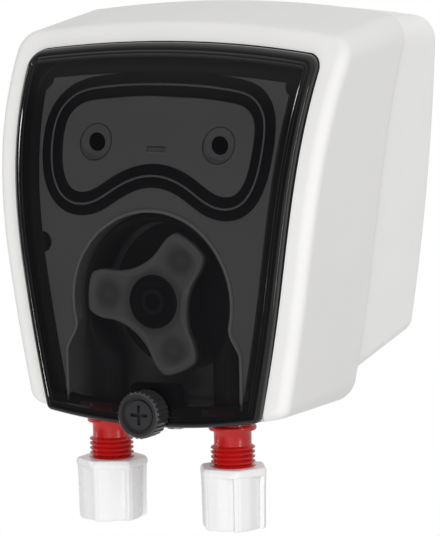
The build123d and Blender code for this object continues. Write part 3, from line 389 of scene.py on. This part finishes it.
def skin(loops, wrap=False, fill_first=False, fill_last=False, band_mats=None, fill_mats=(0, 0)):
    """Verts and faces of a skin over closed loops of equal length."""
    n = len(loops[0])
    verts = [p for l in loops for p in l]
    faces, fm_ = [], []
    m_ = len(loops)
    for i in range(m_ if wrap else m_ - 1):
        a_, b_ = i * n, ((i + 1) % m_) * n
        for j in range(n):
            k = (j + 1) % n
            faces.append((a_ + j, a_ + k, b_ + k, b_ + j))
            fm_.append(band_mats[i] if band_mats else 0)
    h = n // 2
    for want, base, km in ((fill_first, 0, fill_mats[0]), (fill_last, (m_ - 1) * n, fill_mats[1])):
        if not want:
            continue
        for i in range(h):
            l0, l1 = (n - i) % n, (n - i - 1) % n
            q = [base + i, base + i + 1, base + l1, base + l0]
            q = list(dict.fromkeys(q))
            if len(q) >= 3:
                faces.append(tuple(q))
                fm_.append(km)
    return verts, faces, fm_


def tube_path(name, pts, r, mat, sides=10, closed=False, squash=1.0):
    """Round bead along points given in drawing mm."""
    P_ = [Vector(p) for p in pts]
    n = len(P_)
    loops = []
    for i in range(n):
        if closed:
            t = (P_[(i + 1) % n] - P_[i - 1]).normalized()
        else:
            t = (P_[min(n - 1, i + 1)] - P_[max(0, i - 1)]).normalized()
        a_ = Vector((0, 1, 0)) - t * t.y
        a_.normalize()
        b_ = t.cross(a_)
        loops.append([tuple(P_[i] + a_ * r * squash * math.cos(w_) + b_ * r * math.sin(w_)) for w_ in (2 * math.pi * k / sides for k in range(sides))])
    v_, f_, _ = skin(loops, wrap=closed)
    if not closed:
        f_ = f_ + [tuple(range(sides)), tuple(range((n - 1) * sides, n * sides))]
    return make_piece(name, v_, f_, [mat], sharp=60.0)


def lathe_z(name, prof, x, y, mat, n=72, sharp=30.0):
    loops = [[(x + r * math.cos(2 * math.pi * k / n), y + r * math.sin(2 * math.pi * k / n), z) for k in range(n)] for r, z in prof]
    v_, f_, _ = skin(loops, wrap=True)
    return make_piece(name, v_, f_, [mat], sharp=sharp)


def boolean_cut(obj, cutters):
    for c in cutters:
        md = obj.modifiers.new("cut", "BOOLEAN")
        md.operation = "DIFFERENCE"
        md.solver = "EXACT"
        md.object = c
        bpy.context.view_layer.update()
        dg = bpy.context.evaluated_depsgraph_get()
        new = bpy.data.meshes.new_from_object(obj.evaluated_get(dg))
        obj.modifiers.clear()
        obj.data = new
        bpy.data.objects.remove(c, do_unlink=True)
    obj.data.polygons.foreach_set("use_smooth", [True] * len(obj.data.polygons))
    obj.data.set_sharp_from_angle(angle=math.radians(32.0))


def cutter_cyl(x, z, r, y0, y1, n=48):
    v = [(x + r * math.cos(2 * math.pi * k / n), yy, z + r * math.sin(2 * math.pi * k / n)) for yy in (y0, y1) for k in range(n)]
    f = [(k, (k + 1) % n, n + (k + 1) % n, n + k) for k in range(n)] + [tuple(range(n)), tuple(range(n, 2 * n))]
    return make_piece("cutter", v, f, [])


def cutter_box(x0, x1, y0, y1, z0, z1):
    v = [(x, y, z) for x in (x0, x1) for y in (y0, y1) for z in (z0, z1)]
    f = [(0, 1, 3, 2), (4, 6, 7, 5), (0, 4, 5, 1), (2, 3, 7, 6), (0, 2, 6, 4), (1, 5, 7, 3)]
    return make_piece("cutter", v, f, [])


# ---------------------------------------------------------------- cover, with its moulded rim
def build_cover():
    def ring(d, h, bot=None, top=None):
        return loop_of(cover_half(d, top=top, bot=bot, rt=5.0 - d, rb=2.2 - d), h)

    loops = [ring(1.8, 0.0), ring(1.8, -1.2), ring(0.25, -1.2), ring(0.0, -0.95), ring(0.0, 0.7)]
    for k in range(1, 7):
        w_ = math.radians(15.0 * k)
        loops.append(ring(1.5 * (1 - math.cos(w_)), 0.7 + 1.5 * math.sin(w_)))
    n_rim = len(loops)
    loops += [ring(1.85, 2.2), ring(2.0, 2.0), ring(2.3, 2.0), ring(2.45, 2.2), ring(3.0, 2.2), ring(3.1, 2.08), ring(3.35, 2.08), ring(3.45, 2.2)]
    loops += [ring(3.6, 2.2, bot=6.4, top=4.4)]
    mats_i = [1] * (len(loops) - 2) + [2]
    v_, f_, m_ = skin(loops, fill_first=True, fill_last=True, band_mats=mats_i + [0], fill_mats=(0, 0))
    o_ = make_piece("cover_moulding", v_, f_, [MATS["smoked_glass"], MATS["cover_rim"], MATS["smoked_deep"]], m_, sharp=28.0)
    boolean_cut(o_, [cutter_cyl(0, KNOB_Z, 3.6, -8, 6)])
    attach(o_, "cover")
    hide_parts("smoked_cover")
    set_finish(o_, "smoked_glass")
    for i, s_ in enumerate((-1, 1)):
        py = yf(122.6)
        prof = [(0.02, py - 0.1), (1.6, py - 0.1), (1.6, py + 9.0), (1.1, py + 9.6), (0.02, py + 9.6)]
        n_ = 24
        loops_ = [[(s_ * 24.0 + r * math.cos(2 * math.pi * k / n_), yy, 122.6 + r * math.sin(2 * math.pi * k / n_)) for k in range(n_)] for r, yy in prof]
        v2, f2, _ = skin(loops_, wrap=True)
        peg = make_piece("cover_peg_%d" % (i + 1), v2, f2, [MATS["cover_rim"]])
        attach(peg, "cover")
        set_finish(peg, "smoked_glass")


def build_band():
    """Frame band behind the cover: stepped lip profile, open where the connectors pass."""
    def ring(f, h):
        # f runs from 0 at the outer edge to 1 at the inner edge
        d = 0.25 + f * (BAND_SIDE - 0.3)
        t = 0.25 + f * (BAND_TOP - 0.3)
        b_ = 2.4 + f * (BAND_BOT - 2.45)
        return loop_of(cover_half(d, top=t, bot=b_, rt=4.8 + 4.4 * f, rb=1.5), h)

    prof = [(0.0, -4.45), (0.0, -1.7), (0.03, -1.35), (0.16, -1.35), (0.20, -1.9), (0.30, -1.9), (0.34, -1.5), (0.44, -1.42), (0.54, -1.42),
            (0.58, -2.0), (0.66, -2.1), (0.70, -1.75), (0.90, -1.7), (0.97, -1.9), (1.0, -2.3), (1.0, -4.45)]
    loops = [ring(f, h) for f, h in prof]
    v_, f_, _ = skin(loops, wrap=True)
    o_ = make_piece("cover_gasket_lip", v_, f_, [MATS["band_rubber"]], sharp=26.0)
    boolean_cut(o_, [cutter_box(-33, 33, -12, 12, 0, 22)] + [cutter_cyl(s_ * 24.0, 122.6, 1.72, -6, 30) for s_ in (-1, 1)])
    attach(o_, "pump")
    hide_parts("cover_gasket")
    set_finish(o_, "rubber_black")


# ---------------------------------------------------------------- window seal
MASK = [(0.0, 115.0), (14.0, 114.6), (24.0, 113.6), (31.5, 111.5), (36.2, 106.5), (37.6, 99.5), (37.2, 92.0), (35.3, 84.6),
        (31.4, 79.6), (25.6, 77.9), (19.6, 79.4), (13.4, 83.1), (6.8, 86.2), (0.0, 87.3)]


def periodic_spline(pts, per=8):
    """C2 periodic cubic through the points, chord-length parameters."""
    a_ = np.array(pts, dtype=float)
    n = len(a_)
    h = np.hypot(*(np.roll(a_, -1, axis=0) - a_).T)
    A_ = np.zeros((n, n))
    rhs = np.zeros((n, 2))
    for i in range(n):
        hm, hp = h[i - 1], h[i]
        A_[i, (i - 1) % n] += hm
        A_[i, i] += 2 * (hm + hp)
        A_[i, (i + 1) % n] += hp
        rhs[i] = 6 * ((a_[(i + 1) % n] - a_[i]) / hp - (a_[i] - a_[i - 1]) / hm)
    M_ = np.linalg.solve(A_, rhs)
    out = []
    for i in range(n):
        j = (i + 1) % n
        for k in range(per):
            u = k / per
            t = u * h[i]
            hi = h[i]
            out.append(tuple(M_[i] * (hi - t) ** 3 / (6 * hi) + M_[j] * t ** 3 / (6 * hi)
                             + (a_[i] / hi - M_[i] * hi / 6) * (hi - t) + (a_[j] / hi - M_[j] * hi / 6) * t))
    return out


def mask_loop(d):
    full = MASK + [(-x, z) for x, z in reversed(MASK[1:-1])]
    n = len(full)
    off = []
    for i, (x, z) in enumerate(full):
        (ax, az), (bx, bz) = full[i - 1], full[(i + 1) % n]
        tx, tz = bx - ax, bz - az
        l = math.hypot(tx, tz)
        off.append((x - tz / l * d, z + tx / l * d))
    return periodic_spline(off)


def build_mask():
    def ring(d, h):
        # h above the panel face, which lies 1.0 behind the cover's inner face
        return [(x, yf(z) + 1.0 - h, z) for x, z in mask_loop(d)]

    prof = [(-3.62, -1.15), (-3.62, -0.05), (-3.40, 0.16), (-2.9, 0.26), (-2.0, 0.22), (-1.3, 0.02), (-0.75, -0.12), (-0.42, -0.05), (-0.33, 0.5), (-0.2, 0.68),
            (0.0, 0.72), (0.2, 0.68), (0.33, 0.5), (0.42, -0.05), (0.75, -0.12), (1.3, 0.02), (2.0, 0.22), (2.9, 0.26), (3.40, 0.16), (3.62, -0.05), (3.62, -1.15)]
    loops = [ring(d, h) for d, h in prof]
    # the bead's crest faces take the light grey material: a painted highlight line along the black seal
    bm_ = [0] * len(prof)
    for i in range(8, 12):
        bm_[i] = 1
    v_, f_, m_ = skin(loops, wrap=True, band_mats=bm_)
    o_ = make_piece("window_seal_lip", v_, f_, [MATS["seal_rubber"], MATS["seal_bead_painted_highlight"]], m_, sharp=50.0)
    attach(o_, "pump")
    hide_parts("window_seal")
    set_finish(o_, "rubber_black")


# ---------------------------------------------------------------- rotor carrier with dished arms
def smooth(t):
    t = min(1.0, max(0.0, t))
    return t * t * (3 - 2 * t)


def build_carrier():
    N = 288
    C, SR = 34.0, 21.9

    def r_out(a):
        r = 23.6
        for arm in ARMS:
            b_ = math.radians(arm + 60.0)
            c = math.cos(a - b_)
            disc = (C * c) ** 2 - C * C + SR * SR
            if c > 0 and disc > 0:
                rs = C * c - math.sqrt(disc)
                k = 4.0
                h_ = max(k - abs(r - rs), 0.0) / k
                r = min(r, rs) - h_ * h_ * k * 0.25
        return r

    raw = [r_out(2 * math.pi * i / N) for i in range(N)]
    W = 5
    soft = [sum(raw[(i + j) % N] for j in range(-W, W + 1)) / (2 * W + 1) for i in range(N)]

    def r_soft(a):
        return soft[int(round(a / (2 * math.pi) * N)) % N]

    def depth(r, a, ro):
        d = 0.30
        # raised line inside the edge
        e = ro - r
        d -= 0.30 * math.exp(-((e - 1.9) / 0.75) ** 2)
        for arm in ARMS:
            b_ = math.radians(arm)
            px, pz = r * math.cos(a) - 16.4 * math.cos(b_), r * math.sin(a) - 16.4 * math.sin(b_)
            q = math.hypot(px, pz)
            d += 0.60 * smooth((6.6 - q) / 4.6)
            d -= 0.25 * smooth((2.8 - q) / 2.8)
        # shallow saucer towards the cap
        d += 0.35 * smooth((12.0 - r) / 3.0)
        return d

    ts = [0, 0.06, 0.13, 0.2, 0.28, 0.36, 0.44, 0.52, 0.6, 0.68, 0.75, 0.82, 0.88, 0.94, 1.0]
    loops = []
    for t in ts:
        l = []
        for i in range(N):
            a = 2 * math.pi * i / N
            ro = r_soft(a)
            r = 8.45 + (ro - 1.1 - 8.45) * t
            l.append((r * math.cos(a), 0.9 + depth(r, a, ro), ROTOR_Z + r * math.sin(a)))
        loops.append(l)
    for off, y in ((0.85, 1.02), (0.55, 1.12), (0.28, 1.32), (0.08, 1.62), (0.0, 2.0), (0.0, 3.0), (0.35, 3.4)):
        loops.append([((soft[i] - off) * math.cos(2 * math.pi * i / N), y, ROTOR_Z + (soft[i] - off) * math.sin(2 * math.pi * i / N)) for i in range(N)])
    loops.append([(8.45 * math.cos(2 * math.pi * i / N), 3.4, ROTOR_Z + 8.45 * math.sin(2 * math.pi * i / N)) for i in range(N)])
    v_, f_, _ = skin(loops, wrap=True)
    o_ = make_piece("rotor_carrier", v_, f_, [MATS["carrier_plastic_painted_shade"]], sharp=60.0)
    # depth attribute that the material turns into painted shade: 0 on the front faces, 1 at 0.75 mm further back
    at = o_.data.attributes.new("painted_shade_depth", "FLOAT", "POINT")
    vals = []
    for v in o_.data.vertices:
        x_, y_, z_ = v.co.x / MM, v.co.y / MM + WALL_Y, v.co.z / MM + DATUM_Z - ROTOR_Z
        vals.append(min(1.0, max(0.0, (y_ - 0.95) / 0.75)))
    at.data.foreach_set("value", vals)
    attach(o_, "rotor")
    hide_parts("rotor_front_plate")
    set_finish(o_, "panel_plastic")


# ---------------------------------------------------------------- bead on the track's lip, near-white as a painted highlight
def build_track_bead():
    def track(grow):
        r = RACE_R + grow
        a0 = math.radians(-14.0)
        pts = []
        nx, nz = 30.6 + grow, ROTOR_Z - 17.0
        p0 = Vector((r * math.cos(a0), ROTOR_Z + r * math.sin(a0)))
        p1 = Vector((nx, nz))
        L_ = (p1 - p0).length
        m0, m1 = Vector((math.sin(a0), -math.cos(a0))) * L_, Vector((0, -1)) * L_
        for z in (15.8, 20.0, 25.0):
            pts.append((nx, z))
        for i in range(16, 0, -1):
            u = i / 16
            q = (2 * u ** 3 - 3 * u * u + 1) * p0 + (u ** 3 - 2 * u * u + u) * m0 + (-2 * u ** 3 + 3 * u * u) * p1 + (u ** 3 - u * u) * m1
            pts.append((q.x, q.y))
        for deg in range(-14, 91, 4):
            pts.append((r * math.cos(math.radians(deg)), ROTOR_Z + r * math.sin(math.radians(deg))))
        return pts

    half = track(0.55)
    full = half + [(-x, z) for x, z in reversed(half) if x > 0.01]
    pts = [(x, max(0.62, yf(z) + 0.62), z) for x, z in full]
    # rounded glossy bead on the lip, its near-white colour a painted highlight on top of its real gloss
    o_ = tube_path("track_lip_bead", pts, 0.42, MATS["panel_painted_highlight"], sides=10)
    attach(o_, "pump")
    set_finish(o_, "panel_plastic")


# ---------------------------------------------------------------- connectors and nuts
def build_connectors():
    for name, body_node, s_ in (("inlet_connector_body", "inlet_connector", -1), ("outlet_connector_body", "outlet_connector", 1)):
        prof = [(2.1, 26.0), (3.2, 26.0), (3.6, 24.6), (3.6, 15.2), (7.4, 15.2), (7.4, 13.4), (5.9, 13.3), (5.9, 9.4), (7.2, 9.4), (7.5, 9.1), (7.5, 8.35), (7.25, 8.05),
                (6.15, 7.95), (5.92, 7.7), (5.88, 5.0), (5.88, 3.3)]
        n_t = 10
        z = 3.3
        for i in range(n_t):
            for j in range(1, 9):
                u = j / 8
                prof.append((5.98 + 1.0 * (0.5 - 0.5 * math.cos(2 * math.pi * u)) ** 0.8, z - 1.5 * u))
            z -= 1.5
        prof += [(5.9, z - 0.2), (5.2, z - 0.5), (3.4, z - 0.6), (2.9, -16.6), (2.1, -16.9)]
        o_ = lathe_z(name, prof, s_ * LEG_X, LEG_Y, MATS["red_plastic"], sharp=42.0)
        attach(o_, "pump")
        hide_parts(body_node)
        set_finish(o_, "red_plastic")


def build_nuts():
    N = 360
    TOP, BOT, R_ = -3.4, -22.8, 11.35

    def hexr(a, ap, rc):
        k = (a + math.pi / 6) % (math.pi / 3) - math.pi / 6
        r = ap / math.cos(k)
        w_ = max(0.8 - abs(r - rc), 0.0) / 0.8
        return min(r, rc) - w_ * w_ * 0.8 * 0.25

    def ratchet(a, R):
        """A rib, then a face that sinks slowly until the sharp step up to the next rib."""
        k = math.degrees(a) % 60.0
        if k < 7.0:
            return R - 0.10 * abs(k - 3.5) / 3.5
        if k < 58.6:
            u = (k - 7.0) / 51.6
            c = math.radians(k - 32.0)
            flat_r = (R * 0.915) / math.cos(c)
            return min(flat_r, R - 0.2) - 1.15 * smooth((u - 0.35) / 0.62)
        u = (k - 58.6) / 1.4
        c = math.radians(58.6 - 32.0)
        low = min(R * 0.915 / math.cos(c), R - 0.2) - 1.15
        return low + (R - 0.10 - low) * smooth(u)

    for name, rep, body, s_, phase in (("inlet_union_nut", "inlet_nut", "inlet_nut", -1, NUT_PHASE[0]), ("outlet_union_nut", "outlet_nut", "outlet_nut", 1, NUT_PHASE[1])):
        ph = math.radians(phase)
        cx = s_ * LEG_X

        def circle(r, z):
            return [(cx + r * math.cos(2 * math.pi * i / N), LEG_Y + r * math.sin(2 * math.pi * i / N), z) for i in range(N)]

        def section(fn, z):
            out = []
            for i in range(N):
                a = 2 * math.pi * i / N
                r = fn((a - ph) % (2 * math.pi))
                out.append((cx + r * math.cos(a), LEG_Y + r * math.sin(a), z))
            return out

        flat = math.radians(33.5)

        def hx(ap, rc):
            return lambda a: hexr(a - flat, ap, rc)

        loops = [circle(7.05, TOP + 0.0), circle(7.3, TOP), section(hx(9.45, 10.6), TOP), section(hx(9.75, 10.95), TOP - 0.25), section(hx(10.05, 11.3), TOP - 0.9),
                 section(hx(10.1, R_), TOP - 1.2), section(hx(10.1, R_), TOP - 2.1), section(hx(10.0, R_ - 0.12), TOP - 2.35), section(hx(9.9, R_ - 0.25), TOP - 2.45)]
        for z, k in ((TOP - 2.5, 0.985), (TOP - 3.1, 0.982), (-10.0, 0.968), (-16.0, 0.96), (BOT + 1.3, 0.952), (BOT + 0.6, 0.94), (BOT + 0.15, 0.915), (BOT, 0.885)):
            loops.append(section(lambda a, k=k: ratchet(a, R_ * k * 0.985), z))
        loops += [circle(4.3, BOT), circle(4.3, -17.8), circle(5.9, -17.8), circle(5.9, -14.4), circle(7.05, -14.2)]
        v_, f_, _ = skin(loops, wrap=True)
        o_ = make_piece(name, v_, f_, [MATS["nut_plastic"]], sharp=24.0)
        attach(o_, body)
        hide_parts(rep)
        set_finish(o_, "nut_plastic")


NUT_PHASE = (-94.3, -60.3)


def build_clamp():
    """Clamp plate with arches over the connectors, and the block behind the knob, tapered towards the back. The plate
    is a real clamp part, black as painted shade for the deep recess behind the lower band.
    """
    def bz(x):
        return COVER_BOT + 0.00243 * x * x

    nx_ = 44
    xs = [-33.0 + 66.0 * i / nx_ for i in range(nx_ + 1)]
    top = [(x, bz(x) + BAND_BOT - 0.3) for x in xs]
    bot = [(x, bz(x) + 3.0) for x in reversed(xs)]
    out = bot + top
    n = len(out)
    v_, f_ = [], []
    for y in (1.4, 3.4):
        v_ += [(x, y, z) for x, z in out]
    f_ = [(i, (i + 1) % n, n + (i + 1) % n, n + i) for i in range(n)]
    h = n // 2
    for base in (0, n):
        for i in range(h - 1):
            f_.append((base + i, base + i + 1, base + n - 2 - i, base + n - 1 - i))
    # black plate: painted shade for the deep recess behind the lower band
    plate_ = make_piece("connector_clamp_plate", v_, f_, [MATS["black_plastic"]])
    boolean_cut(plate_, [cutter_box(s_ * LEG_X - 6.4, s_ * LEG_X + 6.4, 0, 8, 8, 15.4) for s_ in (-1, 1)] + [cutter_cyl(0, KNOB_Z, 4.65, 0, 12)])
    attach(plate_, "pump")
    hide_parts("connector_clamp")
    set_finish(plate_, "black_plastic")
    # block: rounded top, tapering
    prof = []
    for (x, z) in ((8.7, 12.4), (8.7, 20.4)):
        prof.append((x, z))
    for k in range(1, 7):
        w_ = math.radians(15 * k)
        prof.append((6.7 + 2.0 * math.cos(w_), 20.4 + 2.0 * math.sin(w_)))
    prof += [(-x, z) for x, z in reversed(prof)]
    loops = []
    for y, kx, kz in ((1.7, 0.975, -0.25), (1.45, 1.0, 0.0), (4.6, 1.0, 0.0), (5.0, 0.95, -0.3), (11.0, 0.58, -2.2), (17.6, 0.30, -4.4), (18.0, 0.27, -4.8)):
        if y == 1.7:
            continue
        loops.append([(x * kx, y, z if z < 13 else z + kz) for x, z in prof])
    v2, f2, _ = skin(loops)
    m_ = len(prof)
    f2 += [tuple(range(m_)), tuple(range((len(loops) - 1) * m_, len(loops) * m_))]
    blk = make_piece("connector_clamp_block", v2, f2, [MATS["black_plastic"]])
    boolean_cut(blk, [cutter_cyl(0, KNOB_Z, 4.65, 0, 10.2)])
    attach(blk, "pump")
    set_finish(blk, "black_plastic")


def lathe_y(name, prof, x, z, mat, n=72, sharp=30.0):
    loops = [[(x + r * math.cos(2 * math.pi * k / n), y, z + r * math.sin(2 * math.pi * k / n)) for k in range(n)] for r, y in prof]
    v_, f_, _ = skin(loops, wrap=True)
    return make_piece(name, v_, f_, [mat], sharp=sharp)


def build_eyes():
    """Dark sleeve in each screw well, a painted shade for the dark inside of the deep hole, and the fine edge of its
    round recess as a painted shade line.
    """
    for i, s_ in enumerate((-1, 1)):
        x, z = s_ * LEG_X, 97.07
        ye = yf(z) + 1.0
        # near-black sleeve: painted shade lining the deep hole
        o_ = lathe_y("screw_well_shade_sleeve_%d" % (i + 1), [(2.88, ye + 0.75), (2.88, 17.6), (2.45, 17.6), (2.45, ye + 1.0), (2.55, ye + 0.8)], x, z, MATS["well_painted_shade"])
        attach(o_, "pump")
        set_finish(o_, "black_plastic")
        # dark bead round the recess edge: painted shade at the step
        pts = [(x + 5.6 * math.cos(t), yf(z + 5.6 * math.sin(t)) + 1.0, z + 5.6 * math.sin(t)) for t in (2 * math.pi * k / 64 for k in range(64))]
        r_ = tube_path("screw_recess_painted_shade_%d" % (i + 1), pts, 0.16, MATS["panel_painted_shade"], sides=8, closed=True)
        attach(r_, "pump")
        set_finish(r_, "panel_plastic")


def build_cap():
    prof = [(0.02, 0.95), (3.2, 0.95), (3.7, 1.0), (4.2, 1.35), (5.3, 1.45), (5.8, 1.2), (6.1, 0.65), (6.4, 0.48), (7.4, 0.48), (7.9, 0.62), (8.25, 1.0), (8.3, 1.5), (8.3, 2.4), (7.4, 2.4), (7.4, 2.8),
            (3.1, 2.8), (3.1, 1.45), (0.02, 1.45)]
    o_ = lathe_y("rotor_hub_cap", prof, 0, ROTOR_Z, MATS["cap_black"], n=96, sharp=24.0)
    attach(o_, "rotor")
    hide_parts("rotor_cap")
    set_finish(o_, "black_plastic")


build_eyes()
build_cap()


def build_small_marks():
    """Painted shade along the upper edge and painted highlight along the lower edge of the shallow slot in the panel,
    and the dished disc in the hub cap: dark, yet lighter than the black cap around it as a painted sheen.
    """
    # dark line above the slot is painted shade, light line below it is painted highlight
    for name, z, mat in (("panel_slot_upper_painted_shade", 96.15, "panel_painted_shade"), ("panel_slot_lower_painted_highlight", 94.35, "panel_painted_highlight")):
        pts = [(x, yf(z) + 0.98, z) for x in (-3.3, -1.5, 0.5, 2.0, 3.3)]
        o_ = tube_path(name, pts, 0.14, MATS[mat], sides=8)
        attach(o_, "pump")
        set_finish(o_, "panel_plastic")
    # centre disc lighter than the cap around it: painted sheen
    o_ = lathe_y("rotor_hub_disc", [(0.02, 1.05), (2.6, 0.98), (3.3, 0.80), (3.7, 0.72), (4.0, 0.86), (4.1, 1.3), (0.02, 1.3)], 0, ROTOR_Z, MATS["hub_disc_painted_sheen"], sharp=40.0)
    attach(o_, "rotor")
    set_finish(o_, "black_plastic")


build_small_marks()
build_cover()
build_band()
build_mask()
build_carrier()
build_track_bead()
build_connectors()
build_nuts()
build_clamp()


# ---------------------------------------------------------------- world and lights
def world_studio():
    w = bpy.data.worlds.new("studio")
    bpy.context.scene.world = w
    w.use_nodes = True
    wn = w.node_tree
    bg = wn.nodes["Background"]
    bg.inputs["Strength"].default_value = 1.0
    tc = wn.nodes.new("ShaderNodeTexCoord")

    def along(vec):
        d = wn.nodes.new("ShaderNodeVectorMath")
        d.operation = "DOT_PRODUCT"
        d.inputs[1].default_value = Vector(vec).normalized()
        wn.links.new(tc.outputs["Generated"], d.inputs[0])
        return d.outputs["Value"]

    def mapped(val, x0, x1, y0, y1):
        r = wn.nodes.new("ShaderNodeMapRange")
        r.interpolation_type = "SMOOTHSTEP"
        for k, v in (("From Min", x0), ("From Max", x1), ("To Min", y0), ("To Max", y1)):
            r.inputs[k].default_value = v
        wn.links.new(val, r.inputs["Value"])
        return r.outputs["Result"]

    def times(a, b):
        mth = wn.nodes.new("ShaderNodeMath")
        mth.operation = "MULTIPLY"
        wn.links.new(a, mth.inputs[0])
        wn.links.new(b, mth.inputs[1])
        return mth.outputs[0]

    # white sweep all round, brighter above, with a dark screen low in front and to the left
    base = mapped(along((0.0, 0.0, 1.0)), -0.9, 0.9, WORLD_LOW, WORLD_HIGH)
    screen = mapped(along(SCREEN_DIR), math.cos(math.radians(SCREEN_OUT)), math.cos(math.radians(SCREEN_IN)), 1.0, SCREEN_TONE)
    upper = mapped(along((-0.50, -0.52, 0.60)), math.cos(math.radians(40.0)), math.cos(math.radians(14.0)), 1.0, 0.42)
    wings = mapped(along((1.0, 0.15, 0.0)), 0.2, 0.8, 1.0, 0.86)
    val = times(times(times(base, screen), upper), wings)
    lp = wn.nodes.new("ShaderNodeLightPath")
    wm = wn.nodes.new("ShaderNodeMix")
    wm.data_type = "RGBA"
    wm.inputs["B"].default_value = (1.0, 1.0, 1.0, 1.0)
    comb = wn.nodes.new("ShaderNodeCombineColor")
    for k in range(3):
        wn.links.new(val, comb.inputs[k])
    wn.links.new(lp.outputs["Is Camera Ray"], wm.inputs["Factor"])
    wn.links.new(comb.outputs[0], wm.inputs["A"])
    wn.links.new(wm.outputs["Result"], bg.inputs["Color"])


WORLD_LOW, WORLD_HIGH = 0.74, 0.80
SCREEN_DIR, SCREEN_IN, SCREEN_OUT, SCREEN_TONE = (-0.46, -0.86, 0.12), 24.0, 46.0, 0.10
world_studio()


def area(name, loc, target, size, power, size_y=None, color=(1, 1, 1)):
    d = bpy.data.lights.new(name, "AREA")
    d.shape = "RECTANGLE"
    d.size = size
    d.size_y = size_y or size
    d.energy = power
    d.color = color
    o = bpy.data.objects.new(name, d)
    bpy.context.scene.collection.objects.link(o)
    o.location = loc
    o.rotation_mode = "QUATERNION"
    o.rotation_quaternion = (Vector(target) - Vector(loc)).to_track_quat("-Z", "Y")
    return o


for lamp in (area("key", (0.72, -1.0, 0.80), (0, -0.05, 0), 0.8, 7.0), area("front", (0.02, -1.27, -0.40), (0, -0.05, 0), 0.9, 7.6)):
    lamp.visible_glossy = False
# two narrow strips that only show as highlights along glossy edges
for lamp in (area("strip_left", (-1.25, -0.30, 0.25), (0, -0.05, 0), 0.08, 4.0, size_y=1.1), area("strip_right", (1.25, -0.42, 0.10), (0, -0.05, 0), 0.035, 4.5, size_y=1.2)):
    lamp.visible_diffuse = False
